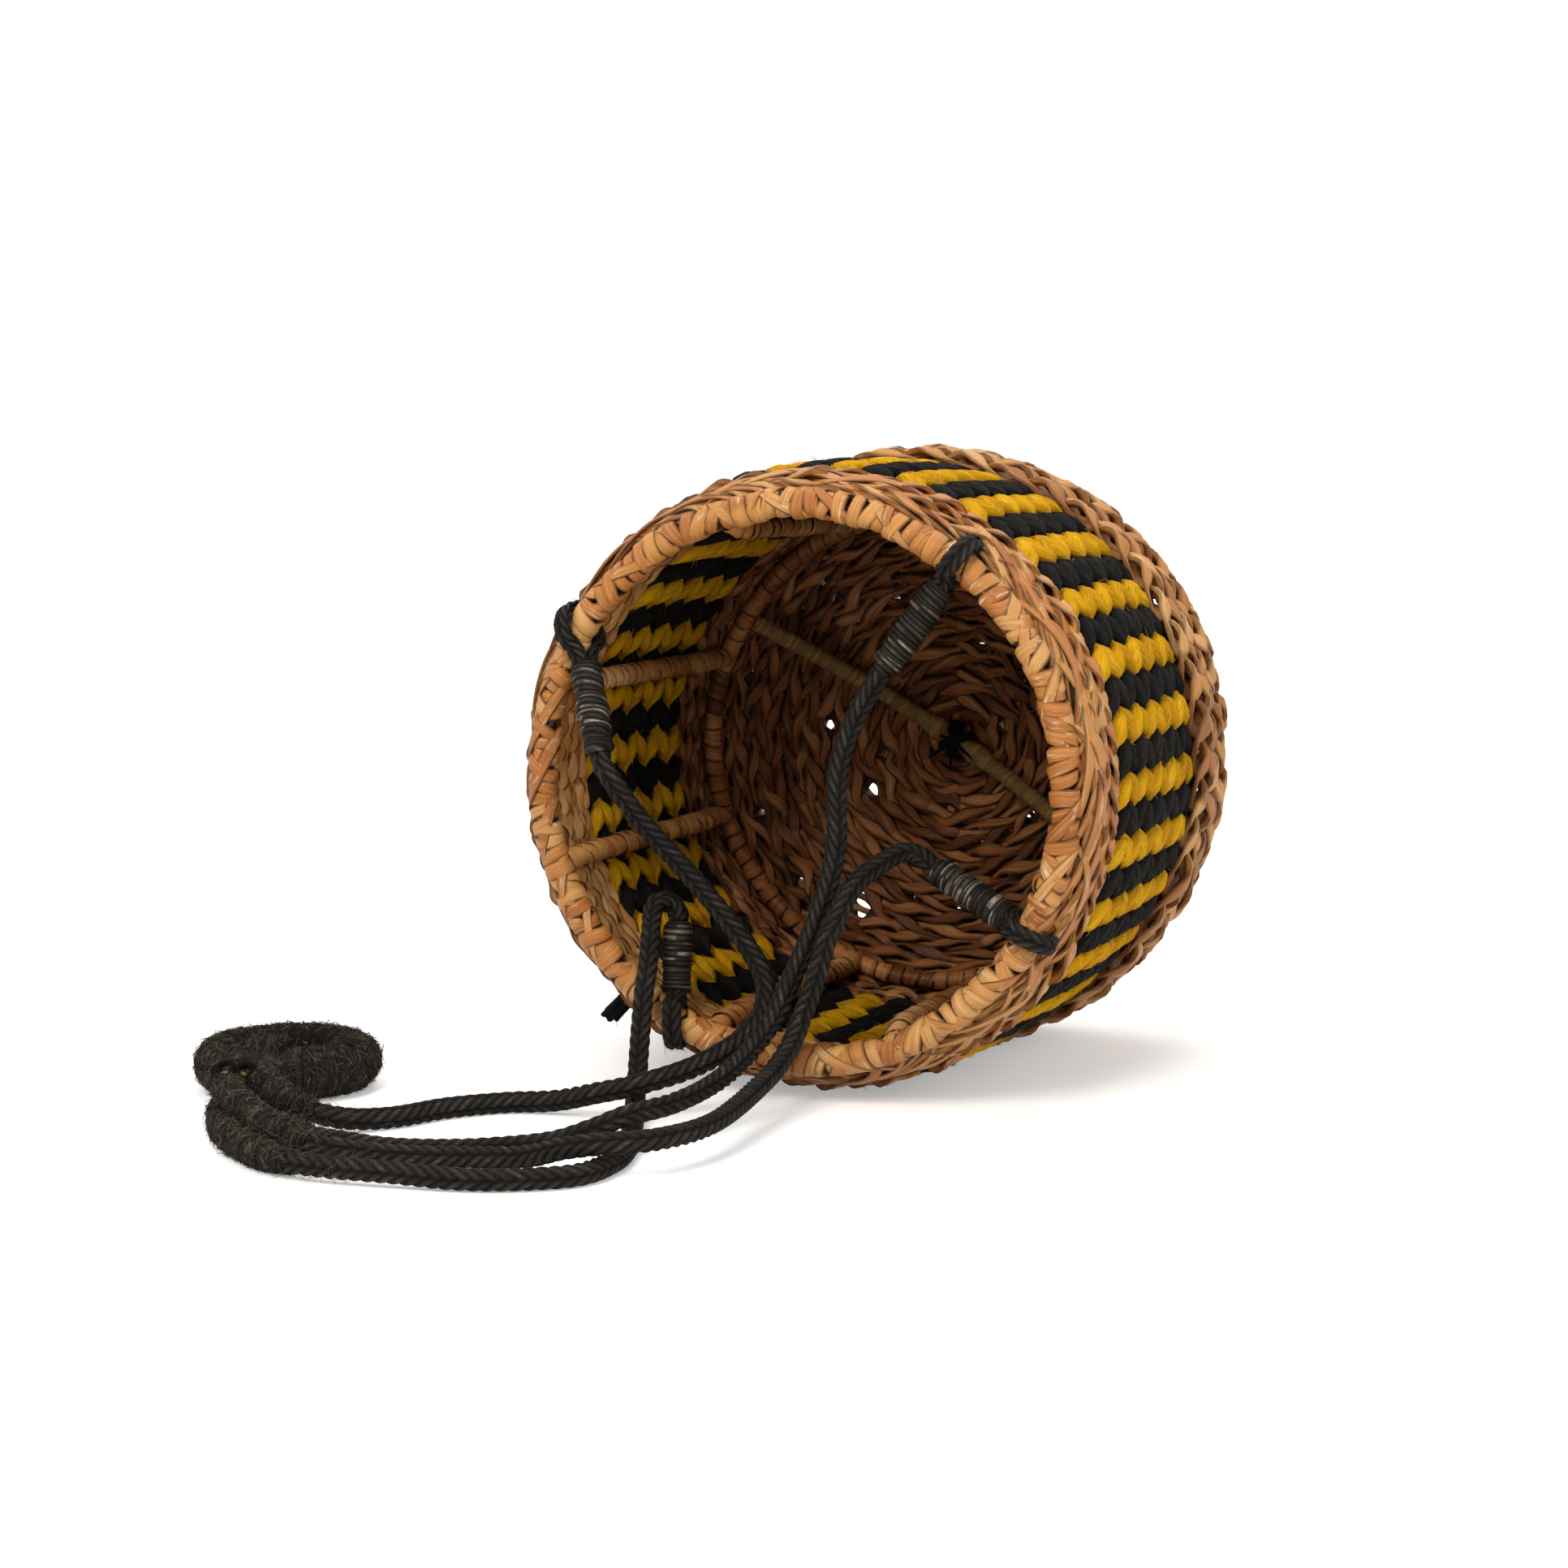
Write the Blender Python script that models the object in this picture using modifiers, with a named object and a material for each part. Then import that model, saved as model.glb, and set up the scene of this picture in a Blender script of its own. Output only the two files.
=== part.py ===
"""Hanging planter basket, lying on its side with its hanger pulled out on the floor.

A wire frame (rim hoop, lower hoop and eight stakes) is wrapped in seagrass ribbon. It carries
a seagrass border, a band of thick yarn and a domed seagrass base. A thread wound rod crosses
the base and is tied to its centre. Four braided cords loop round the rim, are whipped with
thread, and run to a yarn wrapped hanging ring.

Units are metres. The basket frame has its origin at the rim's centre: local X points to the
right of the mouth, local Y down and local Z along the axis, into the basket. The world origin
is on the floor, under the axis, at the depth where the basket rests.
"""
import math

import bmesh
import bpy
from mathutils import Matrix, Vector

# Overall shape
REST_CUT = 0.0005
BASKET_YAW = math.radians(21.4)
SEAM_GAP = 0.0003
TURN_SEGMENTS = 40

# Welded wire frame and its ribbon
RIM_RADIUS = 0.095
RIM_OVERHANG = 0.0055
LOWER_RADIUS = RIM_RADIUS - RIM_OVERHANG
LOWER_DEPTH = 0.141
HOOP_WIRE_RADIUS = 0.0018
RIM_WRAP_RADIUS = 0.00475
LOWER_WRAP_RADIUS = 0.0034
STAKE_WIRE_RADIUS = 0.0013
STAKE_WRAP_RADIUS = 0.0036
STAKE_ANGLES = (28.0, 72.0, 110.0, 158.0, 200.0, 251.0, 291.0, 344.0)
STAKE_BEND_SHARES = ((0.0, 0.0), (0.62, 0.042), (0.96, 0.10), (1.0, 0.17), (1.0, 0.5), (1.0, 1.0))

# Woven wall: border, yarn band and base. Outer shares are of the basket's radius, inner ones of
# its inner radius; a border's neck follows the rim's wrap, and a base's depth its height.
WALL_CLEARANCE = 0.0005
WALL_THICKNESS = 0.0171
INNER_RADIUS = LOWER_RADIUS + STAKE_WRAP_RADIUS + WALL_CLEARANCE
BASKET_RADIUS = INNER_RADIUS + WALL_THICKNESS
BORDER_END = 0.0238
BASE_HEIGHT = 0.043
BASE_LIP = 0.0248
BAND_END = LOWER_DEPTH - BASE_LIP
BASKET_DEPTH = LOWER_DEPTH + BASE_HEIGHT
BORDER_OUTER_SHARES = ((0.964, 1.0), (0.978, 0.77), (0.955, 0.56), (0.962, 0.36), (0.938, 0.17))
BORDER_NECK_SHARES = ((1.15, 0.72), (0.55, 1.03), (0.23, 1.68))
BORDER_INNER_SHARES = ((1.011, 0.545), (1.0, 0.83), (1.0, 1.0))
BAND_OUTER_SHARES = ((0.990, 1.0), (0.999, 0.88), (0.988, 0.74), (0.992, 0.62), (1.0, 0.5),
                     (0.987, 0.37), (0.992, 0.25), (0.978, 0.12), (0.966, 0.0))
BAND_INNER_SHARES = ((1.0, 0.0), (1.024, 0.33), (1.028, 0.67), (1.0124, 1.0))
BASE_OUTER_SHARES = ((0.0, 1.0), (0.36, 0.983), (0.65, 0.906), (0.84, 0.765), (0.94, 0.551),
                     (0.985, 0.272), (1.0, -0.03), (0.998, -0.33), (0.99, -1.0))
BASE_INNER_SHARES = ((1.0124, -1.0), (1.0023, -0.33), (1.001, 0.016), (0.988, 0.23), (0.94, 0.423),
                     (0.8515, 0.572), (0.71, 0.679), (0.497, 0.752), (0.0, 0.79))
REST_DEPTH = BORDER_END + (BAND_END - BORDER_END) / 2

# Rod across the base, and the yarn that ties it down
ROD_RADIUS = 0.003
ROD_CORE_RADIUS = 0.0013
ROD_ANGLE = 122.0
ROD_SAG_SHARES = ((1.0, 0.0), (0.72, 0.42), (0.4, 0.82), (0.0, 1.0))
TIE_YARN_RADIUS = 0.0016
TUFT_RADIUS = 0.0036
TUFT_LENGTH = 0.0105
TUFT_ANGLE = 221.5
TUFT_DEPTH = 0.0165

# Cords, their loops round the rim, and the thread whipping on each
CORD_RADIUS = 0.0034
CORD_POINT_REACH = 0.019
LOOP_CORD_RADIUS = 0.0020
LOOP_STRAND_OFFSET = 0.0022
LOOP_CLEARANCE = 0.0014
WHIPPING_RADIUS = 0.0053
WHIPPING_BORE = 0.00455
WHIPPING_CHAMFER = 0.0004
NOTCH_CLEARANCE = 0.0006
# Each leg's angle round the rim, direction (right, up, inward), and its whipping's start and end
LEG_ANGLES = {"upper_left": -58.5, "upper_right": 37.0, "lower_right": 119.5, "lower_left": -151.5}
LEG_DIRECTION_SHARES = {
    "upper_left": (0.316, -0.889, -0.33), "upper_right": (-0.60, -0.79, 0.10),
    "lower_right": (-0.83, 0.36, 0.43), "lower_left": (-0.12, 0.92, 0.36),
}
WHIPPING_STARTS = {"upper_left": 0.0130, "upper_right": 0.0100, "lower_right": 0.0100,
                   "lower_left": 0.0100}
WHIPPING_ENDS = {"upper_left": 0.0455, "upper_right": 0.0465, "lower_right": 0.0465,
                 "lower_left": 0.0340}
# Routes from the whipping to the ring, chosen by hand in world metres
CORD_ROUTES = {
    "upper_left": (
        (-0.0886, -0.0578, 0.1100), (-0.0836, -0.0560, 0.1026), (-0.0775, -0.0533, 0.0940),
        (-0.0610, -0.0495, 0.0750), (-0.0458, -0.0510, 0.0565), (-0.0375, -0.0550, 0.0435),
        (-0.0365, -0.0605, 0.0340), (-0.0405, -0.0670, 0.0265), (-0.0495, -0.0760, 0.0205),
        (-0.0625, -0.0875, 0.0160), (-0.0790, -0.0945, 0.0122), (-0.0930, -0.0920, 0.0088),
        (-0.1070, -0.0850, 0.0048), (-0.1240, -0.0825, 0.0036), (-0.1431, -0.0915, 0.0036),
        (-0.1592, -0.1065, 0.0037), (-0.1730, -0.1140, 0.0048), (-0.1850, -0.1155, 0.0076),
        (-0.1948, -0.1120, 0.0118), (-0.2022, -0.1035, 0.0141)),
    "upper_right": (
        (-0.0070, -0.0660, 0.1300), (-0.0120, -0.0680, 0.1120), (-0.0125, -0.0690, 0.0880),
        (-0.0190, -0.0695, 0.0640), (-0.0270, -0.0720, 0.0450), (-0.0335, -0.0770, 0.0315),
        (-0.0415, -0.0890, 0.0225), (-0.0520, -0.1100, 0.0165), (-0.0655, -0.1300, 0.0134),
        (-0.0800, -0.1420, 0.0119), (-0.0915, -0.1455, 0.0080), (-0.1045, -0.1475, 0.0044),
        (-0.1240, -0.1530, 0.0036), (-0.1400, -0.1550, 0.0036), (-0.1560, -0.1545, 0.0041),
        (-0.1713, -0.1485, 0.0049), (-0.1860, -0.1375, 0.0049), (-0.1975, -0.1230, 0.0049),
        (-0.2043, -0.1075, 0.0049)),
    "lower_right": (
        (0.0169, -0.0565, 0.0845), (0.0119, -0.0552, 0.0855), (0.0068, -0.0575, 0.0841),
        (0.0017, -0.0615, 0.0815), (-0.0034, -0.0665, 0.0783), (-0.0082, -0.0720, 0.0735),
        (-0.0116, -0.0760, 0.0672), (-0.0152, -0.0785, 0.0595), (-0.0200, -0.0792, 0.0430),
        (-0.0245, -0.0795, 0.0310), (-0.0290, -0.0850, 0.0215), (-0.0370, -0.1050, 0.0150),
        (-0.0520, -0.1530, 0.0120), (-0.0690, -0.1770, 0.0118), (-0.0860, -0.1840, 0.0119),
        (-0.0985, -0.1805, 0.0096), (-0.1105, -0.1730, 0.0054), (-0.1280, -0.1660, 0.0036),
        (-0.1460, -0.1650, 0.0037), (-0.1610, -0.1640, 0.0047), (-0.1775, -0.1600, 0.0062),
        (-0.1905, -0.1520, 0.0090), (-0.2000, -0.1410, 0.0122), (-0.2085, -0.1255, 0.0142),
        (-0.2142, -0.1075, 0.0143)),
    "lower_left": (
        (-0.0692, -0.0343, 0.0645), (-0.0736, -0.0366, 0.0655), (-0.0757, -0.0387, 0.0632),
        (-0.0763, -0.0425, 0.0585), (-0.0765, -0.0485, 0.0535), (-0.0770, -0.0545, 0.0465),
        (-0.0783, -0.0600, 0.0369), (-0.0795, -0.0630, 0.0219), (-0.0802, -0.0665, 0.0110),
        (-0.0805, -0.0760, 0.0050), (-0.0800, -0.0930, 0.0037), (-0.0795, -0.1200, 0.0036),
        (-0.0795, -0.1480, 0.0036), (-0.0830, -0.1710, 0.0036), (-0.0930, -0.1900, 0.0036),
        (-0.1120, -0.1965, 0.0036), (-0.1300, -0.1960, 0.0037), (-0.1493, -0.1915, 0.0046),
        (-0.1706, -0.1850, 0.0049), (-0.1860, -0.1760, 0.0049), (-0.1985, -0.1595, 0.0049),
        (-0.2090, -0.1365, 0.0049), (-0.2155, -0.1105, 0.0049)),
}

# Hanging ring, and the sewn lashing that holds the four wrapped cord ends
RING_CENTRE = (-0.204, -0.040)
RING_RADIUS = 0.0233
RING_TUBE_RADIUS = 0.0095
RING_CORE_RADIUS = 0.0050
RING_SEGMENTS = 32
WINDOW_RADII = (0.0014, 0.0012)
WINDOW_ANGLES = (-127.0, -117.0)
LASHING_ANGLE = -98.5
LASHING_CLEARANCE = 0.0013
LASHING_LENGTH = 0.0150
LASHING_WIDTH = 0.0215
LASHING_BEVEL = 0.0035
ARCH_THICKNESS = 0.0020
ARCH_WIDTH = 0.0100
END_WRAP_RADIUS = 0.0046
END_SEATS = {"upper_left": (1, 1), "upper_right": (1, -1), "lower_right": (-1, 1),
             "lower_left": (-1, -1)}
END_WRAP_LENGTHS = {"upper_left": 0.040, "upper_right": 0.058, "lower_right": 0.085,
                    "lower_left": 0.100}

# Counts and the overrun of every cutter
CURVE_STEPS = 16
STAKE_TURN = math.radians(7.0)
ROD_TURN = math.radians(6.0)
CORD_TURN = math.radians(18.0)
CUT_OVERRUN = 0.002
MERGE_DISTANCE = 0.00001
ROUND_SIDES = 12

AXIS_HEIGHT = BASKET_RADIUS - REST_CUT
RIGHT = Vector((math.cos(BASKET_YAW), -math.sin(BASKET_YAW), 0.0))
UP = Vector((0.0, 0.0, 1.0))
INWARD = Vector((math.sin(BASKET_YAW), math.cos(BASKET_YAW), 0.0))
RIM_CENTRE = UP * AXIS_HEIGHT - INWARD * REST_DEPTH

PALETTE = {
    "steel_wire": ((0.23, 0.20, 0.17), 0.45, 0.9),
    "seagrass_ribbon": ((0.55, 0.31, 0.13), 0.60, 0.0),
    "seagrass_weave": ((0.46, 0.24, 0.10), 0.68, 0.0),
    "yarn_band": ((0.62, 0.42, 0.03), 0.90, 0.0),
    "khaki_thread": ((0.20, 0.14, 0.06), 0.80, 0.0),
    "black_yarn": ((0.020, 0.019, 0.018), 0.92, 0.0),
    "black_cord": ((0.024, 0.023, 0.022), 0.80, 0.0),
    "whipping_thread": ((0.055, 0.050, 0.045), 0.75, 0.0),
    "ring_yarn": ((0.032, 0.027, 0.022), 0.95, 0.0),
    "ring_core": ((0.42, 0.29, 0.14), 0.70, 0.0),
}


def clear_scene():
    """Removes what the opened file holds, so that the model starts from nothing."""
    for old in list(bpy.data.objects):
        bpy.data.objects.remove(old, do_unlink=True)


def new_collection(name):
    """Makes a collection under the scene's own."""
    made = bpy.data.collections.new(name)
    bpy.context.scene.collection.children.link(made)
    return made


def material(name):
    """Returns the Principled material of that name, made from the palette once."""
    if name in bpy.data.materials:
        return bpy.data.materials[name]
    colour, roughness, metallic = PALETTE[name]
    made = bpy.data.materials.new(name)
    made.use_nodes = True
    shader = made.node_tree.nodes["Principled BSDF"]
    shader.inputs["Base Color"].default_value = (*colour, 1.0)
    shader.inputs["Roughness"].default_value = roughness
    shader.inputs["Metallic"].default_value = metallic
    return made


clear_scene()
PARTS = new_collection("hanging_planter_basket")
CUTTERS = new_collection("cutters")


def place(name, data, collection, paint=None, smooth=True):
    """Links new object data to a collection and gives it its material."""
    made = bpy.data.objects.new(name, data)
    collection.objects.link(made)
    if paint:
        data.materials.append(material(paint))
    if smooth and isinstance(data, bpy.types.Mesh):
        data.shade_smooth()
        data.set_sharp_from_angle(angle=math.radians(40.0))
    if collection is CUTTERS:
        made.hide_render = True
        made.display_type = "WIRE"
    return made


def basket_matrix():
    """Basket frame to world: columns are local X (right), Y (down) and Z (inward)."""
    turn = Matrix((RIGHT, -UP, INWARD)).transposed()
    return Matrix.Translation(RIM_CENTRE) @ turn.to_4x4()


BASKET = bpy.data.objects.new("basket_frame", None)
PARTS.objects.link(BASKET)
BASKET.matrix_world = basket_matrix()


def attach(made, parent=BASKET):
    """Parents an object to a frame, keeping its own location inside that frame."""
    made.parent = parent
    return made


def station(radius, angle, depth):
    """Point in the basket frame: angle in degrees from up, towards the right of the mouth."""
    turn = math.radians(angle)
    return Vector((radius * math.sin(turn), -radius * math.cos(turn), depth))


def cut(target, cutter, operation="DIFFERENCE"):
    """Adds an exact Boolean modifier to the target."""
    step = target.modifiers.new(cutter.name, "BOOLEAN")
    step.operation = operation
    step.object = cutter
    step.solver = "EXACT"


def turned(name, outline, collection, paint=None, segments=TURN_SEGMENTS, closed=True):
    """Turns an outline of (radius, height) pairs about local Z with a Screw modifier.

    The outline runs down the outer side and back up the inner one.
    """
    mesh = bpy.data.meshes.new(name)
    points = [(radius, 0.0, height) for radius, height in outline]
    edges = [(i, i + 1) for i in range(len(points) - 1)]
    if closed:
        edges.append((len(points) - 1, 0))
    mesh.from_pydata(points, edges, [])
    made = place(name, mesh, collection, paint, smooth=False)
    screw = made.modifiers.new("turn", "SCREW")
    screw.steps = segments
    screw.render_steps = segments
    screw.use_merge_vertices = True
    screw.merge_threshold = MERGE_DISTANCE
    screw.use_smooth_shade = True
    return made


def torus(name, radius, tube, collection, paint=None, segments=TURN_SEGMENTS, sides=8):
    """A torus primitive about local Z, in the given collection."""
    bpy.ops.mesh.primitive_torus_add(major_segments=segments, minor_segments=sides,
                                     major_radius=radius, minor_radius=tube)
    made = bpy.context.active_object
    mesh = made.data
    bpy.data.objects.remove(made)
    mesh.name = name
    return place(name, mesh, collection, paint)


def cylinder(name, radius, length, collection, paint=None, sides=ROUND_SIDES):
    """A cylinder primitive along local Z, centred on its origin."""
    mesh = bpy.data.meshes.new(name)
    shape = bmesh.new()
    bmesh.ops.create_cone(shape, cap_ends=True, segments=sides, radius1=radius, radius2=radius,
                          depth=length)
    shape.to_mesh(mesh)
    shape.free()
    return place(name, mesh, collection, paint)


def box(name, size, collection, paint=None):
    """A box primitive of the given size, centred on its origin, with unit scale."""
    mesh = bpy.data.meshes.new(name)
    shape = bmesh.new()
    bmesh.ops.create_cube(shape, size=1.0)
    bmesh.ops.scale(shape, vec=size, verts=shape.verts)
    shape.to_mesh(mesh)
    shape.free()
    return place(name, mesh, collection, paint, smooth=False)


def smooth_route(points, lead=None, finish=None):
    """A Catmull-Rom curve through the route's own points, with its end directions if given."""
    first, second = points[0], points[1]
    last, previous = points[-1], points[-2]
    before = first * 2 - second
    after = last * 2 - previous
    if lead is not None:
        before = second - lead * (2 * (second - first).length)
        after = previous + finish * (2 * (last - previous).length)
    ends = [before, *points, after]
    dense = []
    for before, start, stop, after in zip(ends, ends[1:], ends[2:], ends[3:]):
        for step in range(CURVE_STEPS):
            t = step / CURVE_STEPS
            dense.append(0.5 * (2 * start + (stop - before) * t
                                + (2 * before - 5 * start + 4 * stop - after) * t ** 2
                                + (3 * start - before - 3 * stop + after) * t ** 3))
    return [*dense, points[-1]]


def point_at(dense, travelled, distance):
    """The point at a distance along a polyline whose running lengths are known."""
    for i in range(1, len(dense)):
        if travelled[i] >= distance or i == len(dense) - 1:
            share = (distance - travelled[i - 1]) / (travelled[i] - travelled[i - 1])
            return dense[i - 1].lerp(dense[i], min(max(share, 0.0), 1.0))


def part_of_route(dense, start, stop):
    """The stretch of a polyline between two distances along it."""
    travelled = [0.0]
    for first, second in zip(dense, dense[1:]):
        travelled.append(travelled[-1] + (second - first).length)
    near = MERGE_DISTANCE
    inside = [p for p, run in zip(dense, travelled) if start + near < run < stop - near]
    return [point_at(dense, travelled, start), *inside, point_at(dense, travelled, stop)]


def thinned(dense, turn, reach=BASKET_DEPTH):
    """Keeps a polyline's ends, and each point where it has turned or run by that much."""
    kept = [dense[0]]
    heading = dense[1] - dense[0]
    for point, after in zip(dense[1:], dense[2:]):
        if heading.angle(after - point) > turn or (point - kept[-1]).length > reach:
            kept.append(point)
            heading = after - point
    if (kept[-1] - dense[-1]).length < LOOP_CORD_RADIUS and len(kept) > 1:
        kept.pop()
    return [*kept, dense[-1]]


def route_length(points):
    """Length of a polyline."""
    return sum((stop - start).length for start, stop in zip(points, points[1:]))


def tube(name, points, radius, collection, paint=None, detail=2):
    """A round tube along a polyline: a curve with a bevel and filled caps."""
    curve = bpy.data.curves.new(name, "CURVE")
    curve.dimensions = "3D"
    curve.bevel_depth = radius
    curve.bevel_resolution = detail
    curve.use_fill_caps = True
    spline = curve.splines.new("POLY")
    spline.points.add(len(points) - 1)
    for slot, point in zip(spline.points, points):
        slot.co = (*point, 1.0)
    spline.use_smooth = True
    return place(name, curve, collection, paint)


def as_mesh(curve_object, collection=None):
    """Turns a curve object into a mesh object with welded caps, and removes the curve."""
    graph = bpy.context.evaluated_depsgraph_get()
    graph.update()
    mesh = bpy.data.meshes.new_from_object(curve_object.evaluated_get(graph))
    shape = bmesh.new()
    shape.from_mesh(mesh)
    bmesh.ops.remove_doubles(shape, verts=shape.verts, dist=MERGE_DISTANCE)
    shape.to_mesh(mesh)
    shape.free()
    name = curve_object.name
    parent = curve_object.parent
    matrix = curve_object.matrix_world.copy()
    home = collection or curve_object.users_collection[0]
    bpy.data.objects.remove(curve_object)
    mesh.name = name
    made = place(name, mesh, home)
    made.parent = parent
    made.matrix_world = matrix
    return made


def mesh_tube(name, points, radius, collection, paint=None, detail=1):
    """A tube that takes Booleans."""
    made = as_mesh(tube(name, points, radius, collection, paint, detail))
    return made


def joined(name, pieces, collection):
    """Joins separate mesh objects of one frame into one object."""
    shape = bmesh.new()
    for piece in pieces:
        shape.from_mesh(piece.data)
    mesh = bpy.data.meshes.new(name)
    shape.to_mesh(mesh)
    shape.free()
    for piece in pieces:
        bpy.data.objects.remove(piece)
    return place(name, mesh, collection)


def stake_path(angle, start=0.0, stop=None):
    """Path of a stake's wire, from the rim hoop's centre line to the lower hoop's."""
    points = [station(RIM_RADIUS + (LOWER_RADIUS - RIM_RADIUS) * lean, angle, LOWER_DEPTH * share)
              for lean, share in STAKE_BEND_SHARES]
    dense = smooth_route(points)
    whole = route_length(dense)
    end = whole if stop is None else whole - stop
    return thinned(part_of_route(dense, start, end), STAKE_TURN)


def wire_frame():
    """Rim hoop, lower hoop and eight stakes, welded into one piece of wire work."""
    frame = attach(torus("wire_frame", RIM_RADIUS, HOOP_WIRE_RADIUS, PARTS, "steel_wire", sides=6))
    stakes = [mesh_tube(f"stake_wire_{i}", stake_path(angle), STAKE_WIRE_RADIUS, CUTTERS)
              for i, angle in enumerate(STAKE_ANGLES)]
    stake_wires = attach(joined("stake_wires", stakes, CUTTERS))
    lower = attach(torus("lower_hoop_wire", LOWER_RADIUS, HOOP_WIRE_RADIUS, CUTTERS, sides=6))
    lower.location.z = LOWER_DEPTH
    cut(frame, stake_wires, "UNION")
    cut(frame, lower, "UNION")


def stake_bores():
    """Cutter that leaves the seam gap round every stake's wire."""
    bores = [mesh_tube(f"stake_bore_{i}", stake_path(angle), STAKE_WIRE_RADIUS + SEAM_GAP, CUTTERS)
             for i, angle in enumerate(STAKE_ANGLES)]
    return attach(joined("stake_bores", bores, CUTTERS))


def wrapped_hoop(name, radius, depth, wrap_radius, bores, sides):
    """Ribbon wound round a hoop: a hollow ring that the stakes' wires enter."""
    wrap = attach(torus(name, radius, wrap_radius, PARTS, "seagrass_ribbon", sides=sides))
    wrap.location.z = depth
    bore = attach(torus(name + "_bore", radius, HOOP_WIRE_RADIUS + SEAM_GAP, CUTTERS, sides=6))
    bore.location.z = depth
    cut(wrap, bore)
    cut(wrap, bores)
    return wrap


def stake_wraps():
    """A ribbon sleeve on each stake, seated between the two wrapped hoops."""
    for i, angle in enumerate(STAKE_ANGLES):
        path = stake_path(angle, RIM_WRAP_RADIUS + SEAM_GAP, LOWER_WRAP_RADIUS + SEAM_GAP)
        wrap = attach(mesh_tube(f"stake_wrap_{i + 1}", path, STAKE_WRAP_RADIUS, PARTS, detail=2))
        wrap.data.materials.clear()
        wrap.data.materials.append(material("seagrass_ribbon"))
        bore = attach(mesh_tube(f"sleeve_bore_{i}", stake_path(angle),
                                STAKE_WIRE_RADIUS + SEAM_GAP, CUTTERS))
        cut(wrap, bore)


def outline_from(shares, radius, start, height):
    """Outline points from shares of a radius and of a height above a starting depth."""
    return [(radius * across, start + height * along) for across, along in shares]


def floor_cutter():
    """A slab whose top face is the floor, which flattens what rests on it."""
    size = (BASKET_RADIUS * 4, BASKET_DEPTH * 2, BASKET_RADIUS)
    slab = box("floor_slab", size, CUTTERS)
    slab.location = (0.0, 0.0, -BASKET_RADIUS / 2)
    return slab


def woven_wall(floor, notches):
    """Border, yarn band and domed base: three turned shells that seat on one another."""
    neck = [(RIM_RADIUS + RIM_WRAP_RADIUS * across, RIM_WRAP_RADIUS * along)
            for across, along in BORDER_NECK_SHARES]
    outline = (outline_from(BORDER_OUTER_SHARES, BASKET_RADIUS, 0.0, BORDER_END) + neck
               + outline_from(BORDER_INNER_SHARES, INNER_RADIUS, 0.0, BORDER_END))
    border = attach(turned("border_weave", outline, PARTS, "seagrass_weave"))
    for notch in notches:
        cut(border, notch)
    start = BORDER_END + SEAM_GAP
    outline = (outline_from(BAND_OUTER_SHARES, BASKET_RADIUS, start, BAND_END - start)
               + outline_from(BAND_INNER_SHARES, INNER_RADIUS, start, BAND_END - start))
    cut(attach(turned("yarn_band", outline, PARTS, "yarn_band")), floor)
    start = BAND_END + SEAM_GAP
    outline = (outline_from(BASE_OUTER_SHARES, BASKET_RADIUS, LOWER_DEPTH, BASE_HEIGHT)
               + outline_from(BASE_INNER_SHARES, INNER_RADIUS, LOWER_DEPTH, BASE_HEIGHT))
    outline = [(radius, max(depth, start)) for radius, depth in outline]
    cut(attach(turned("base_weave", outline, PARTS, "seagrass_weave", closed=False)), floor)


def base_floor():
    """Depth of the base's inner face on the axis."""
    return LOWER_DEPTH + BASE_HEIGHT * BASE_INNER_SHARES[-1][1]


def rod_point(share, sag):
    """Point on the rod's centre line, in the basket frame."""
    reach = LOWER_RADIUS - LOWER_WRAP_RADIUS + SEAM_GAP
    seat = LOWER_DEPTH + ROD_RADIUS
    bottom = base_floor() - ROD_RADIUS - SEAM_GAP
    return station(reach * share, ROD_ANGLE, seat + (bottom - seat) * sag)


def cross_rod():
    """Thread wound rod across the lower hoop, bowed to the middle of the base."""
    half = [rod_point(share, sag) for share, sag in ROD_SAG_SHARES]
    other = [rod_point(-share, sag) for share, sag in reversed(ROD_SAG_SHARES[:-1])]
    path = thinned(smooth_route(half + other), ROD_TURN)
    winding = attach(mesh_tube("rod_winding", path, ROD_RADIUS, PARTS, detail=2))
    winding.data.materials.clear()
    winding.data.materials.append(material("khaki_thread"))
    cut(winding, attach(mesh_tube("rod_bore", stretched(path), ROD_CORE_RADIUS + SEAM_GAP, CUTTERS)))
    attach(tube("rod_core", path, ROD_CORE_RADIUS, PARTS, "steel_wire", detail=1))


def stretched(path):
    """The same path run past both of its ends, for a cutter."""
    first = path[0] + (path[0] - path[1]).normalized() * CUT_OVERRUN
    last = path[-1] + (path[-1] - path[-2]).normalized() * CUT_OVERRUN
    return [first, *path, last]


def base_tie():
    """Two crossed arches of black yarn over the rod, at the centre of the base."""
    centre = rod_point(0.0, 1.0)
    rise = ROD_RADIUS + SEAM_GAP * 2 + TIE_YARN_RADIUS
    reach = rise / math.sin(math.radians(45.0))
    floor_depth = base_floor() - SEAM_GAP * 2
    arches = []
    for i, turn in enumerate((45.0, -45.0)):
        across = station(1.0, ROD_ANGLE + turn, 0.0)
        foot = Vector((0.0, 0.0, floor_depth - centre.z))
        arc = [across * (reach * math.cos(step)) - Vector((0.0, 0.0, rise * math.sin(step)))
               for step in (math.pi * k / 8 for k in range(9))]
        path = [centre + across * reach + foot, *(centre + p for p in arc),
                centre - across * reach + foot]
        arches.append(mesh_tube(f"tie_arch_{i}", path, TIE_YARN_RADIUS, PARTS if i == 0 else CUTTERS))
    tie, second = (attach(arch) for arch in arches)
    tie.name = "base_tie"
    tie.data.materials.clear()
    tie.data.materials.append(material("black_yarn"))
    cut(tie, second, "UNION")


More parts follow.
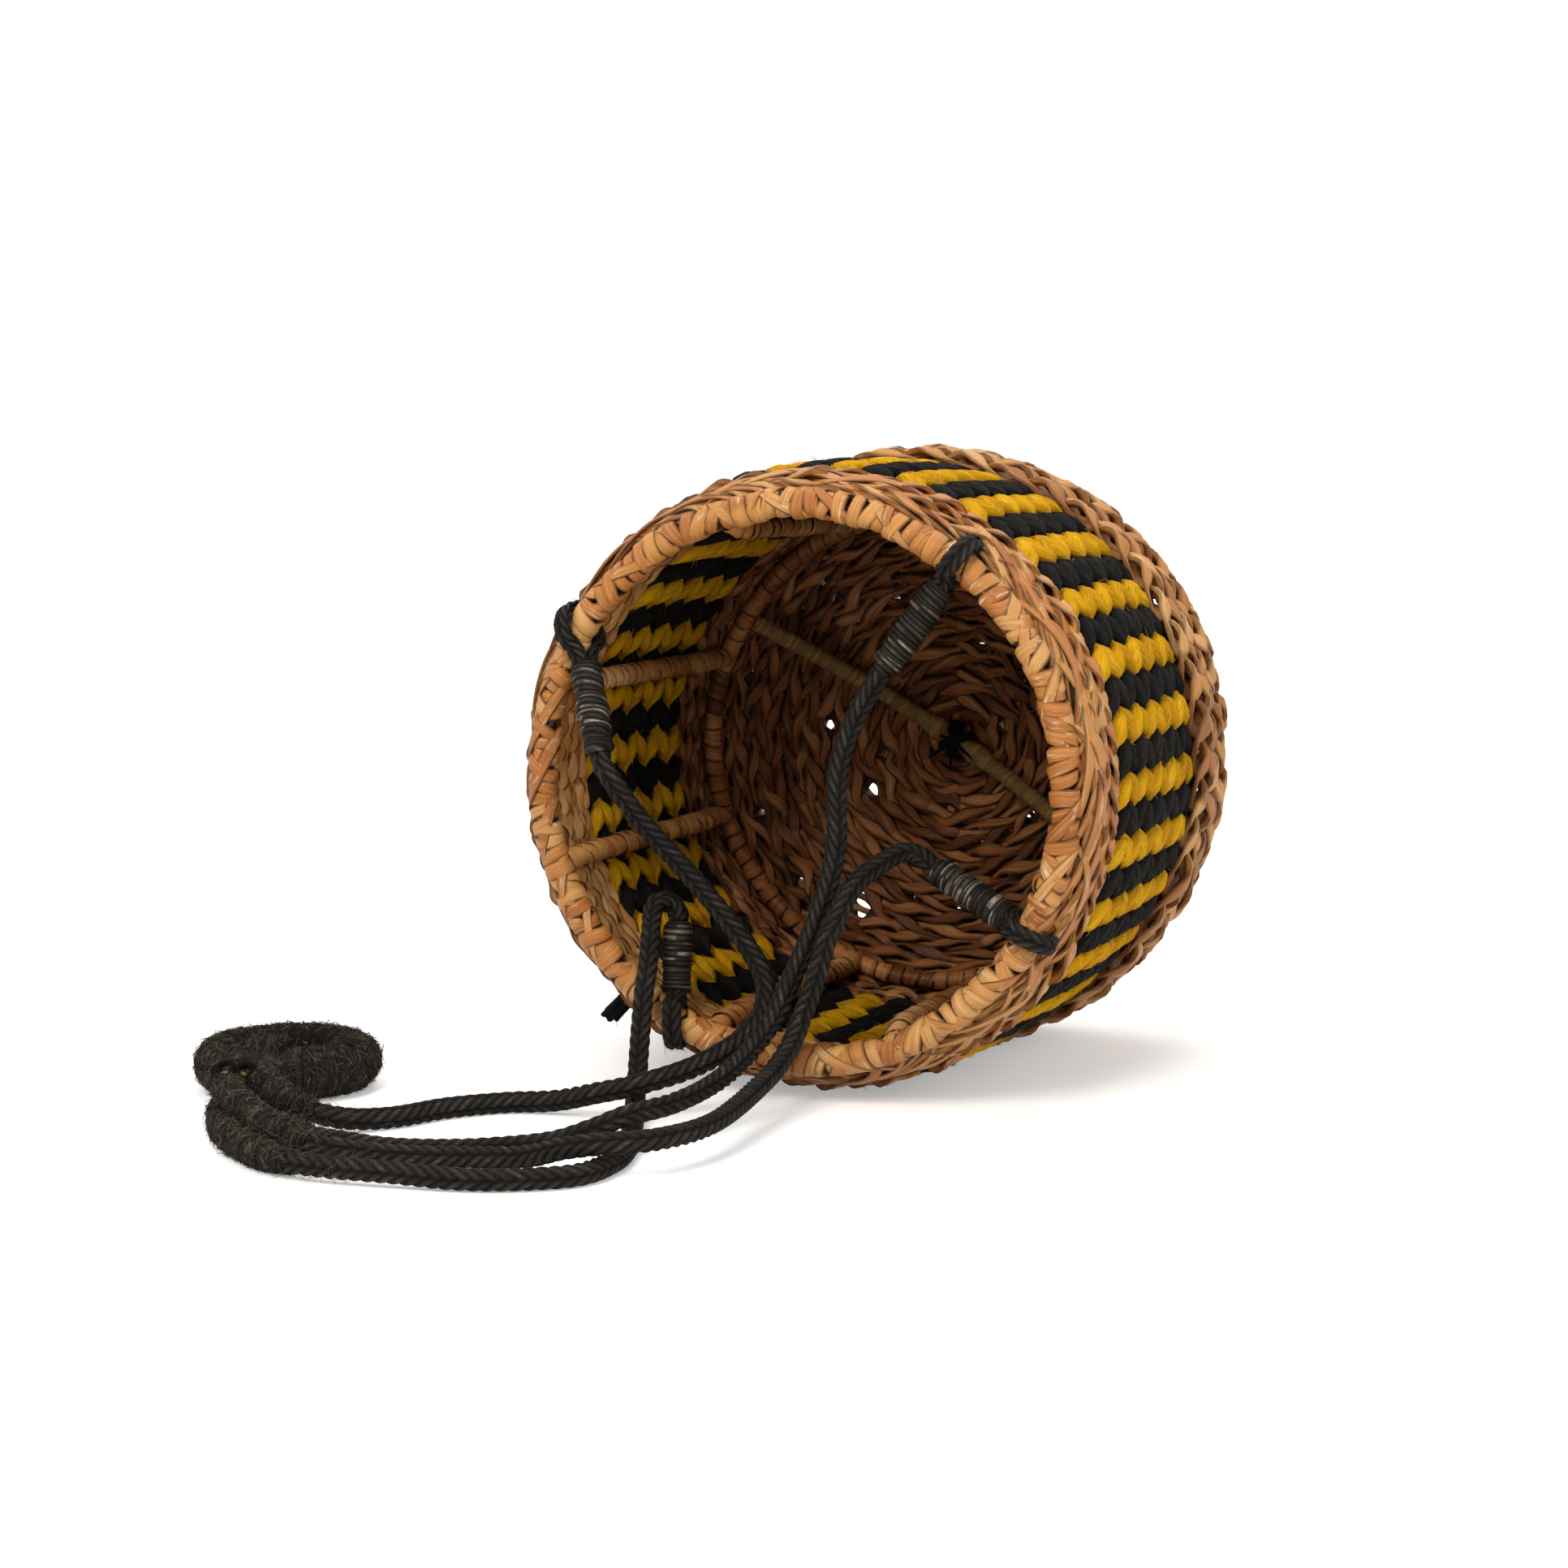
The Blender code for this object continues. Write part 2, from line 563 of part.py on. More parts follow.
def yarn_tuft():
    """Knotted yarn end that sticks out of the border beside the lower left loop."""
    tuft = attach(cylinder("yarn_tuft", TUFT_RADIUS, TUFT_LENGTH, PARTS, "black_yarn"))
    radius = BASKET_RADIUS * BORDER_OUTER_SHARES[1][0] + SEAM_GAP + TUFT_LENGTH / 2
    outward = station(1.0, TUFT_ANGLE, 0.0)
    tuft.location = station(radius, TUFT_ANGLE, TUFT_DEPTH)
    tuft.rotation_mode = "QUATERNION"
    tuft.rotation_quaternion = outward.to_track_quat("Z", "X")
    bevel = tuft.modifiers.new("fray", "BEVEL")
    bevel.width = TUFT_RADIUS / 3
    bevel.segments = 1


def leg_frame(label):
    """Hinge point on the rim, leg direction, side direction, rim tangent and the loop's lean."""
    turn = math.radians(LEG_ANGLES[label])
    hinge = RIM_CENTRE + RIGHT * (RIM_RADIUS * math.sin(turn)) + UP * (RIM_RADIUS * math.cos(turn))
    right, up, inward = LEG_DIRECTION_SHARES[label]
    along = (RIGHT * right + UP * up + INWARD * inward).normalized()
    tangent = RIGHT * math.cos(turn) - UP * math.sin(turn)
    side = along.cross(tangent).normalized()
    lean = math.sqrt(1.0 - along.dot(tangent) ** 2)
    return hinge, along, side, tangent, lean


def cord_loop(name, hinge, along, side, lean, start, end):
    """The cord's split end: round the rim as a loop, then both strands into the whipping."""
    reach = RIM_WRAP_RADIUS + LOOP_CLEARANCE + LOOP_CORD_RADIUS
    back = RIM_WRAP_RADIUS / lean + LOOP_CLEARANCE + LOOP_CORD_RADIUS
    turns = [math.radians(-108.0 + 24.0 * k) for k in range(10)]
    bow = [-along * (back * math.cos(t)) + side * (reach * math.sin(t)) for t in turns]
    ends = [along * (start - LOOP_CLEARANCE), along * (end - SEAM_GAP)]
    first = [p - side * LOOP_STRAND_OFFSET for p in reversed(ends)]
    second = [p + side * LOOP_STRAND_OFFSET for p in ends]
    made = tube(name, first + bow + second, LOOP_CORD_RADIUS, PARTS, "black_cord", detail=1)
    made.location = hinge
    return made


def whipping(name, hinge, along, start, end):
    """Thread whipping: a sleeve over both strands, chamfered at its ends."""
    edge = WHIPPING_RADIUS - WHIPPING_CHAMFER
    outline = [(edge, end), (WHIPPING_RADIUS, end - WHIPPING_CHAMFER),
               (WHIPPING_RADIUS, start + WHIPPING_CHAMFER), (edge, start),
               (WHIPPING_BORE, start), (WHIPPING_BORE, end)]
    made = turned(name, outline, PARTS, "whipping_thread", segments=ROUND_SIDES)
    made.rotation_mode = "QUATERNION"
    made.rotation_quaternion = along.to_track_quat("Z", "X")
    made.location = hinge
    return made


def loop_notch(name, hinge, tangent, lean):
    """Cutter for the gap between the border's rows where a loop passes round the rim."""
    back = RIM_WRAP_RADIUS / lean + LOOP_CLEARANCE + LOOP_CORD_RADIUS
    spread = math.sqrt(1.0 - lean ** 2)
    width = 2 * (LOOP_CORD_RADIUS / lean + back * spread + NOTCH_CLEARANCE)
    radius = back + LOOP_CORD_RADIUS + NOTCH_CLEARANCE
    notch = cylinder(name, radius, width, CUTTERS)
    notch.rotation_mode = "QUATERNION"
    notch.rotation_quaternion = tangent.to_track_quat("Z", "X")
    notch.location = hinge
    return notch


def end_seat(label):
    """Centre of a wrapped end on the lashing's front face, and the way out of that face."""
    hinge, out, along = lashing_frame()
    column, row = END_SEATS[label]
    aside = END_WRAP_RADIUS + SEAM_GAP
    above = END_WRAP_RADIUS + SEAM_GAP / 2
    face = out * (RING_TUBE_RADIUS + LASHING_CLEARANCE + LASHING_LENGTH + SEAM_GAP)
    return hinge + face + along * (aside * column) + UP * (above * row), out


def cord_route(label, hinge, along, end):
    """Smooth route of one cord: out of the whipping in line with the leg, then by hand,
    and square on to its seat on the lashing."""
    tip = hinge + along * (end + SEAM_GAP)
    seat, out = end_seat(label)
    points = [tip + along * (CORD_RADIUS / 2), *(Vector(point) for point in CORD_ROUTES[label])]
    points.append(seat + out * END_WRAP_RADIUS)
    return [tip, *smooth_route(points, along, -out), seat]


def stretch(dense, start, stop):
    """Tube points between two distances along a route, with a short straight run at each end."""
    middle = part_of_route(dense, start + CORD_RADIUS / 2, stop - CORD_RADIUS / 2)
    ends = part_of_route(dense, start, stop)
    return [ends[0], *thinned(middle, CORD_TURN, CORD_POINT_REACH), ends[-1]]


def free_cord(label, hinge, along, end):
    """One cord from its whipping to the lashing: the free stretch and its wrapped end."""
    dense = cord_route(label, hinge, along, end)
    whole = route_length(dense)
    split = whole - END_WRAP_LENGTHS[label]
    free = stretch(dense, 0.0, split - SEAM_GAP)
    tube(f"cord_{label}", free, CORD_RADIUS, PARTS, "black_cord", detail=2)
    wrapped = stretch(dense, split, whole)
    tube(f"end_wrap_{label}", wrapped, END_WRAP_RADIUS, PARTS, "ring_yarn", detail=2)
    print(f"cord_{label}: free length {route_length(free):.4f} m, wrapped end {whole - split:.4f} m")


def legs():
    """Four loops, whippings and cords; returns the notches that the loops need."""
    notches = []
    for label in LEG_ANGLES:
        hinge, along, side, tangent, lean = leg_frame(label)
        start, end = WHIPPING_STARTS[label], WHIPPING_ENDS[label]
        cord_loop(f"cord_loop_{label}", hinge, along, side, lean, start, end)
        whipping(f"whipping_{label}", hinge, along, start, end)
        notches.append(loop_notch(f"notch_{label}", hinge, tangent, lean))
        free_cord(label, hinge, along, end)
    return notches


def lashing_frame():
    """Centre of the ring's tube where it is held, and the directions out of and along it."""
    turn = math.radians(LASHING_ANGLE)
    out = Vector((math.cos(turn), math.sin(turn), 0.0))
    centre = Vector((*RING_CENTRE, RING_TUBE_RADIUS))
    return centre + out * RING_RADIUS, out, Vector((-out.y, out.x, 0.0))


def hanging_ring():
    """Grass core and yarn wrap of the ring, with the two spots where the core shows."""
    hinge, _, along = lashing_frame()
    pivot = bpy.data.objects.new("ring_pivot", None)
    PARTS.objects.link(pivot)
    pivot.location = hinge
    centre = Vector((*RING_CENTRE, RING_TUBE_RADIUS)) - hinge
    wrap = torus("ring_wrap", RING_RADIUS, RING_TUBE_RADIUS, PARTS, "ring_yarn", RING_SEGMENTS, 12)
    bore = torus("ring_bore", RING_RADIUS, RING_CORE_RADIUS + SEAM_GAP, CUTTERS, None,
                 RING_SEGMENTS, 6)
    core = torus("ring_core", RING_RADIUS, RING_CORE_RADIUS, PARTS, "ring_core", RING_SEGMENTS, 6)
    for piece in (wrap, bore, core):
        attach(piece, pivot)
        piece.location = centre
    cut(wrap, bore)
    for i, (angle, radius) in enumerate(zip(WINDOW_ANGLES, WINDOW_RADII)):
        turn = math.radians(angle)
        out = Vector((math.cos(turn), math.sin(turn), 0.0))
        window = attach(cylinder(f"window_{i}", radius, RING_TUBE_RADIUS, CUTTERS, sides=8), pivot)
        window.rotation_mode = "QUATERNION"
        window.rotation_quaternion = out.to_track_quat("Z", "X")
        window.location = centre + out * (RING_RADIUS + RING_TUBE_RADIUS)
        cut(wrap, window)


def ring_lashing():
    """Sewn block that takes the four cord ends, and the yarn arch that holds the ring."""
    hinge, out, along = lashing_frame()
    seat_radius = RING_TUBE_RADIUS + LASHING_CLEARANCE
    height = RING_TUBE_RADIUS * 2
    size = (LASHING_WIDTH, LASHING_LENGTH, height)
    block = box("ring_lashing", size, PARTS, "ring_yarn")
    block.rotation_euler.z = math.atan2(along.y, along.x)
    block.location = hinge + out * (seat_radius + LASHING_LENGTH / 2)
    bevel = block.modifiers.new("soft_edges", "BEVEL")
    bevel.width = LASHING_BEVEL
    bevel.segments = 2
    quarter = seat_radius + ARCH_THICKNESS
    arch = cylinder("ring_arch", quarter, ARCH_WIDTH, PARTS, "ring_yarn", sides=24)
    seat = cylinder("ring_seat", seat_radius, LASHING_WIDTH * 2, CUTTERS, sides=24)
    for piece in (arch, seat):
        piece.rotation_mode = "QUATERNION"
        piece.rotation_quaternion = along.to_track_quat("Z", "X")
        piece.location = hinge
    wide = (quarter * 4, quarter * 2, quarter * 2)
    openings = {
        "arch_back": -out * quarter - UP * (quarter + RING_TUBE_RADIUS / 2),
        "arch_low": out * quarter - UP * quarter,
        "arch_front": out * (seat_radius - SEAM_GAP + quarter) + UP * quarter / 2,
    }
    cut(arch, seat)
    for name, offset in openings.items():
        opening = box(name, wide, CUTTERS)
        opening.rotation_euler.z = math.atan2(along.y, along.x)
        opening.location = hinge + offset
        cut(arch, opening)


wire_frame()
BORES = stake_bores()
wrapped_hoop("rim_wrap", RIM_RADIUS, 0.0, RIM_WRAP_RADIUS, BORES, 8)
wrapped_hoop("lower_hoop_wrap", LOWER_RADIUS, LOWER_DEPTH, LOWER_WRAP_RADIUS, BORES, 6)
stake_wraps()
woven_wall(floor_cutter(), legs())
cross_rod()
base_tie()
yarn_tuft()
hanging_ring()
ring_lashing()
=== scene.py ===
# %% [markdown]
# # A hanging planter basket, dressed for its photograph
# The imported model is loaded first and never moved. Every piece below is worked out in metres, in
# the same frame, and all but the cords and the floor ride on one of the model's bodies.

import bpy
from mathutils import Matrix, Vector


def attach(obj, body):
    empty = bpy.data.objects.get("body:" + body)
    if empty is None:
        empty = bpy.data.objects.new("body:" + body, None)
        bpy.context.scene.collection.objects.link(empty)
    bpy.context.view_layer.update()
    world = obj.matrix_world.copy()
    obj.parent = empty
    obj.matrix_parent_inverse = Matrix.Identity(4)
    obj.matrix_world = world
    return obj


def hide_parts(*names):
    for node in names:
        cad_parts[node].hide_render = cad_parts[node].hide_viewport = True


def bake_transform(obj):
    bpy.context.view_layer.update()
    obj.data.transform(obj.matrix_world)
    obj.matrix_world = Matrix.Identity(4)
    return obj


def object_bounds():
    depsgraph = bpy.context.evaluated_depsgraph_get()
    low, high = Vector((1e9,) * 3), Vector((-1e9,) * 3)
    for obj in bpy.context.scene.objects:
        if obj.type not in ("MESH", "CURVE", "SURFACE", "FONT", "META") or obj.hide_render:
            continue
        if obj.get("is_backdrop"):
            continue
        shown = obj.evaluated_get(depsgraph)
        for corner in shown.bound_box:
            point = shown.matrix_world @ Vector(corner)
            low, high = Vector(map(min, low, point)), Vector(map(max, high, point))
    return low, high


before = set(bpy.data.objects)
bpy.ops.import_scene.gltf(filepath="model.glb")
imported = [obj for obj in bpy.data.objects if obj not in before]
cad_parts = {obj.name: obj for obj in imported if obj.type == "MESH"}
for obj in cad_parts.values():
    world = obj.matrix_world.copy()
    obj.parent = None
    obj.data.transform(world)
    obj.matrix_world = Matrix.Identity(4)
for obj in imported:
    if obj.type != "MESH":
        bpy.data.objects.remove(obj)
CAD_BOX = [list(corner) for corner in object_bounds()]
print("model box", CAD_BOX)

# %% [markdown]
# The tools: numpy for the shapes, bpy for meshes and materials. One seeded generator draws every
# random number, so that each run gives the same basket.

# %% Tools
import math

import bpy
import numpy as np

RANDOM = np.random.default_rng(7)
TAU = 2.0 * np.pi
SCENE = bpy.context.scene

# %% [markdown]
# The basket lies on its side. Its own axes are right of the mouth, up, and inward from the mouth to
# the base. A point is given by its radius from the axis, its angle from up towards the right, and
# its depth behind the rim.

# %% The basket's own axes
YAW = math.radians(21.4)
RIGHT = np.array((math.cos(YAW), -math.sin(YAW), 0.0))
UP = np.array((0.0, 0.0, 1.0))
INWARD = np.array((math.sin(YAW), math.cos(YAW), 0.0))
AXIS_HEIGHT = 0.1102
REST_DEPTH = 0.070
RIM_CENTRE = UP * AXIS_HEIGHT - INWARD * REST_DEPTH


def outward(angle):
    """Unit direction away from the basket's axis at an angle."""
    return np.sin(angle)[..., None] * RIGHT + np.cos(angle)[..., None] * UP


def basket_point(radius, angle, depth):
    """Point = rim centre + radius (sin angle right + cos angle up) + depth inward."""
    radius, angle, depth = np.broadcast_arrays(radius, angle, depth)
    return RIM_CENTRE + radius[..., None] * outward(angle) + depth[..., None] * INWARD


print("rim centre", RIM_CENTRE.round(4))

# %% [markdown]
# The camera stands where the photographer stood: a little above the basket, looking down by six
# degrees, with a lens long enough to keep the basket free of distortion.

# %% Camera
CAMERA_PLACE = (-0.02998, -1.16344, 0.22874)
CAMERA_DOWN = math.atan2(0.0999, 0.9256)
SENSOR_WIDTH, FOCAL_PIXELS, PHOTO_PIXELS = 36.0, 4000.0, 1932.0

camera_data = bpy.data.cameras.new("camera")
camera_data.sensor_width = SENSOR_WIDTH
camera_data.lens = SENSOR_WIDTH * FOCAL_PIXELS / PHOTO_PIXELS
camera = bpy.data.objects.new("camera", camera_data)
camera.location = CAMERA_PLACE
camera.rotation_euler = (math.pi / 2 - CAMERA_DOWN, 0.0, 0.0)
SCENE.collection.objects.link(camera)
SCENE.camera = camera
SCENE.view_settings.view_transform = "Standard"
print("lens", round(camera_data.lens, 2), "mm")

# %% [markdown]
# Every strand, ribbon, thread and loose fibre is the same kind of surface: a row of stations along
# a path with a small oval ring at each. One function computes all the rings of many strands at
# once, another turns the grid into a closed mesh with its own UV map: u runs along the strand in
# metres and v once round it.

# %% Surfaces from grids
FLOOR_GAP = 0.0002


def unit(vectors):
    """Vectors divided by their own length."""
    return vectors / np.maximum(np.linalg.norm(vectors, axis=-1, keepdims=True), 1e-12)


def square_to(axis, direction):
    """The unit part of a direction that is square to a unit axis."""
    return unit(direction - (direction * axis).sum(-1, keepdims=True) * axis)


def angles(count):
    """Equal steps round a circle."""
    return np.linspace(0.0, TAU, count, endpoint=False)


def rings(first, second, theta):
    """Ring of vectors at each station: first cos theta + second sin theta."""
    return first[:, None] * np.cos(theta)[..., None] + second[:, None] * np.sin(theta)[..., None]


def headings(path, ring=False):
    """Unit tangents: the difference of each point's two neighbours, wrapped on a closed path."""
    if ring:
        return unit(np.roll(path, -1, axis=-2) - np.roll(path, 1, axis=-2))
    return unit(np.gradient(path, axis=-2))


def swept(path, normal, half_width, half_thick, sides, ring=False, flat=1.0):
    """Oval rings: path + wide * half_width * cos t + normal * half_thick * sin t ** flat.

    wide = tangent x normal, after the normal is made square to the tangent. A flat under one
    turns the oval into a flat strip with blunt edges.
    """
    tangent = headings(path, ring)
    normal = square_to(tangent, normal)
    turn = angles(sides)
    half_width = np.broadcast_to(half_width, path.shape[:-1])[..., None, None]
    half_thick = np.broadcast_to(half_thick, path.shape[:-1])[..., None, None]
    across = np.cross(tangent, normal)[..., None, :] * half_width * np.cos(turn)[:, None]
    swell = np.sign(np.sin(turn)) * np.abs(np.sin(turn)) ** flat
    return path[..., None, :] + across + normal[..., None, :] * half_thick * swell[:, None]


# %% Closed meshes
def mesh_piece(name, grids, paint, body=None, node=None, ring=False, tone=0.5):
    """One mesh from a grid of shape strands x stations x sides x 3, closed round each strand.

    A closed path wraps to its first station, an open one ends in two flat fans. A tone for each
    station or corner is kept as an attribute, for the materials to vary their colour with. What
    would sink into the floor is pressed flat on it instead. The piece rides on its body and
    takes the place of the model's node.
    """
    grids = np.array(grids if grids.ndim == 4 else grids[None])
    grids[..., 2] = np.maximum(grids[..., 2], FLOOR_GAP)
    strands, stations, sides = grids.shape[:3]
    spans = stations if ring else stations - 1
    first = np.arange(strands)[:, None, None] * stations * sides
    i, j = np.arange(spans)[None, :, None], np.arange(sides)[None, None, :]
    near, far = first + i * sides, first + (i + 1) % stations * sides
    after = (j + 1) % sides
    quads = np.stack([near + j, far + j, far + after, near + after], -1).reshape(-1, 4)
    middle = grids.mean(2)
    run = np.cumsum(np.linalg.norm(np.roll(middle, -1, axis=1) - middle, axis=-1), 1)
    along = np.concatenate([np.zeros((strands, 1)), run], 1)[..., None] * np.ones(sides)
    low, high = along[:, :spans], along[:, 1:spans + 1]
    u = np.stack([low, high, high, low], -1)
    v = np.stack([j, j, j + 1, j + 1], -1) / sides * np.ones((strands, spans, 1, 1))
    uv = np.stack([u, v], -1).reshape(-1, 2)
    corners, starts = quads.ravel(), np.arange(len(quads)) * 4
    if not ring:
        k, base = np.arange(1, sides - 1)[None, :], first[:, 0]
        tail = base + (stations - 1) * sides
        fans = [np.stack(np.broadcast_arrays(*fan), -1).reshape(-1, 3)
                for fan in ((base, base + k, base + k + 1), (tail, tail + k + 1, tail + k))]
        fans = np.concatenate(fans)
        starts = np.concatenate([starts, len(corners) + np.arange(len(fans)) * 3])
        corners = np.concatenate([corners, fans.ravel()])
        uv = np.concatenate([uv, np.zeros((fans.size, 2))])
    mesh = bpy.data.meshes.new(name)
    mesh.vertices.add(strands * stations * sides)
    mesh.vertices.foreach_set("co", grids.astype(np.float32).ravel())
    mesh.loops.add(len(corners))
    mesh.loops.foreach_set("vertex_index", corners.astype(np.int32))
    mesh.polygons.add(len(starts))
    mesh.polygons.foreach_set("loop_start", starts.astype(np.int32))
    mesh.uv_layers.new(name="UVMap").data.foreach_set("uv", uv.astype(np.float32).ravel())
    tones = np.asarray(tone)
    tones = tones if tones.shape[-2:] == (stations, sides) else tones[..., None]
    tones = np.broadcast_to(tones, (strands, stations, sides)).astype(np.float32)
    mesh.attributes.new("tone", "FLOAT", "POINT").data.foreach_set("value", tones.ravel())
    mesh.update(calc_edges=True)
    mesh.validate()
    mesh.shade_smooth()
    mesh.materials.append(paint)
    piece = bpy.data.objects.new(name, mesh)
    SCENE.collection.objects.link(piece)
    if body:
        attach(piece, body)
    if node:
        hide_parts(node)
    print(name, len(mesh.vertices), "vertices", len(mesh.polygons), "faces")
    return piece


# %% Smooth random values
def drift(count, knots, strands=None, ring=True):
    """Smooth random values from -1 to 1: a cosine blend between one draw at each knot."""
    drawn = RANDOM.uniform(-1.0, 1.0, (strands or 1, knots))
    drawn = np.concatenate([drawn, drawn[:, :1]], 1)
    place = np.linspace(0.0, knots, count, endpoint=not ring)
    low = np.minimum(place.astype(int), knots - 1)
    blend = 0.5 - 0.5 * np.cos(np.pi * (place - low))
    values = drawn[:, low] * (1 - blend) + drawn[:, low + 1] * blend
    return values if strands else values[0]


def patches(count, knots, strands=1):
    """Random values from 0 to 1 that jump from one length of leaf to the next."""
    return RANDOM.uniform(0.0, 1.0, (strands, knots))[:, np.arange(count) * knots // count]


def joined_tone(count):
    """One random tone for each of many strands."""
    return RANDOM.uniform(0.0, 1.0, (count, 1))

# %% [markdown]
# Materials are named for what they are made of. Colours are written as sRGB hex, as a paint chart
# gives them, and turned to linear light by one function. One function adds a node.

# %% Node helpers
def linear(hexcode):
    """sRGB hex to linear RGBA: c / 12.92 below 0.04045, else ((c + 0.055) / 1.055) ** 2.4."""
    parts = [int(hexcode[i:i + 2], 16) / 255 for i in (0, 2, 4)]
    return (*[c / 12.92 if c < 0.04045 else ((c + 0.055) / 1.055) ** 2.4 for c in parts], 1.0)


def add(tree, kind, values=(), **settings):
    """Adds a node, sets its properties, and gives its inputs a number or a node's output."""
    made = tree.nodes.new(kind)
    for name, value in settings.items():
        setattr(made, name, value)
    for name, value in dict(values).items():
        if isinstance(value, bpy.types.NodeSocket):
            tree.links.new(value, made.inputs[name])
        else:
            made.inputs[name].default_value = value
    return made


def maths(tree, operation, *values, **settings):
    """A math node's output, from numbers or outputs."""
    return add(tree, "ShaderNodeMath", enumerate(values), operation=operation,
               **settings).outputs[0]


def mapped(tree, value, low, high, to_low=0.0, to_high=1.0, **settings):
    """An output spread from one range to another."""
    return add(tree, "ShaderNodeMapRange", {"Value": value, "From Min": low, "From Max": high,
                                            "To Min": to_low, "To Max": to_high},
               **settings).outputs["Result"]


def mixed(tree, factor, first, second, blend="MIX"):
    """Colour mix of two colours."""
    return add(tree, "ShaderNodeMix", {0: factor, 6: first, 7: second}, data_type="RGBA",
               blend_type=blend).outputs[2]


def ramp(tree, factor, stops):
    """A colour that runs through the stops, {position: hex}."""
    made = add(tree, "ShaderNodeValToRGB", {"Fac": factor})
    elements = made.color_ramp.elements
    while len(elements) < len(stops):
        elements.new(0.5)
    for element, (position, hexcode) in zip(elements, stops.items()):
        element.position = position
        element.color = linear(hexcode)
    return made.outputs[0]


# %% Materials to start from
def new_material(name, roughness, specular=0.35, metallic=0.0):
    """A material with a bare Principled shader; returns it with its tree and shader."""
    made = bpy.data.materials.new(name)
    made.use_nodes = True
    shader = made.node_tree.nodes["Principled BSDF"]
    shader.inputs["Roughness"].default_value = roughness
    shader.inputs["Specular IOR Level"].default_value = specular
    shader.inputs["Metallic"].default_value = metallic
    return made, made.node_tree, shader


def dress(tree, shader, colour, height, strength, distance):
    """Gives the shader its colour, and a bump from a height output."""
    made = add(tree, "ShaderNodeBump", {"Strength": strength, "Distance": distance,
                                        "Height": height})
    tree.links.new(made.outputs["Normal"], shader.inputs["Normal"])
    tree.links.new(colour, shader.inputs["Base Color"])


def strand_streaks(tree, along, around, detail=3.0):
    """Noise stretched along a strand: cycles per metre along it, and cycles round it.

    Also gives the strand's tone, and the cosine of the way round it.
    """
    place = add(tree, "ShaderNodeUVMap", uv_map="UVMap").outputs["UV"]
    tone = add(tree, "ShaderNodeAttribute", attribute_name="tone").outputs["Fac"]
    split = add(tree, "ShaderNodeSeparateXYZ", {"Vector": place}).outputs
    turn = maths(tree, "MULTIPLY", split["Y"], TAU)
    cosine, sine = maths(tree, "COSINE", turn), maths(tree, "SINE", turn)
    run = maths(tree, "MULTIPLY_ADD", tone, 37.0, maths(tree, "MULTIPLY", split["X"], along))
    joined = add(tree, "ShaderNodeCombineXYZ", {"X": run, "Y": cosine, "Z": sine}).outputs[0]
    stretch = add(tree, "ShaderNodeMapping", {"Vector": joined, "Scale": (1.0, around, around)})
    streak = add(tree, "ShaderNodeTexNoise", {"Vector": stretch.outputs[0], "Scale": 1.0,
                                              "Detail": detail, "Roughness": 0.6})
    return streak.outputs["Fac"], tone, cosine

# %% [markdown]
# Seagrass ribbon is a dried leaf 4 to 9 mm wide: tan to orange brown and satin. Its tone changes
# over some 22 mm of length and 0.7 mm of width, and fine veins lie about 0.15 mm apart and run on for
# 14 mm. Its edges are painted darker as shade, so that the gaps between leaves read dark, and pale
# papery husk shows in flecks 10 mm long. Inside the basket the same leaf is redder, and darker
# partly in its own colour and partly as painted shade.

# %% Seagrass leaf material
def leaf_material(name, stops, husk, roughness=0.5, husky=0.62, rim=0.58):
    """Dried leaf: a colour from each length's tone, veins along it, pale husk and edges darkened as
    painted shade.

    v runs once round the strip, so its two edges are where abs(cos(tau v)) comes near one.
    """
    made, tree, shader = new_material(name, roughness)
    vein, tone, cosine = strand_streaks(tree, 45.0, 2.6)
    level = mapped(tree, maths(tree, "MULTIPLY_ADD", tone, 0.62, vein), 0.30, 1.25)
    blotch = strand_streaks(tree, 95.0, 1.6, detail=6.0)[0]
    papery = mapped(tree, blotch, husky, husky + 0.09, 0.0, 0.8)
    colour = mixed(tree, papery, ramp(tree, level, stops), linear(husk))
    fine = strand_streaks(tree, 70.0, 13.0)[0]
    shade = mapped(tree, fine, 0.32, 0.68, 0.66, 1.12)
    # Painted shade: the colour is multiplied down to rim at both edges of the strip.
    painted_edge_shade = mapped(tree, maths(tree, "ABSOLUTE", cosine), 0.72, 0.99, 1.0, rim)
    grey = maths(tree, "MULTIPLY", shade, painted_edge_shade)
    grey = add(tree, "ShaderNodeCombineColor", {0: grey, 1: grey, 2: grey}).outputs[0]
    dress(tree, shader, mixed(tree, 1.0, colour, grey, "MULTIPLY"), fine, 0.7, 0.0007)
    return made


RIBBON = leaf_material("dried_seagrass_ribbon",
                       {0.0: "8A4C1A", 0.3: "B87030", 0.65: "CB8A45", 1.0: "DCA968"}, "EFD9AE",
                       0.42, 0.60, 0.46)
WEFT = leaf_material("twined_seagrass",
                     {0.0: "7E481C", 0.35: "B07236", 0.7: "CB904E", 1.0: "DDAE74"}, "E4CA9C", 0.5,
                     0.64)
# Leaf inside the basket and on the lower hoop: darker partly in its own colour, partly as painted
# shade.
DARK_AND_SHADED_WEFT = leaf_material("shaded_seagrass",
                          {0.0: "45220E", 0.35: "7C451C", 0.7: "A86834", 1.0: "C68C54"},
                          "CDA878", 0.38, 0.67, 0.4)
# Stakes and border padding: leaf coloured very dark as painted shade in the gaps between rows.
SPOKE = leaf_material("seagrass_stake_painted_shade", {0.0: "2E1A0C", 0.5: "47290F", 1.0: "5F3D1F"},
                      "6E4E2C", 0.7, 0.75)
print("leaf materials", RIBBON.name, WEFT.name, DARK_AND_SHADED_WEFT.name)
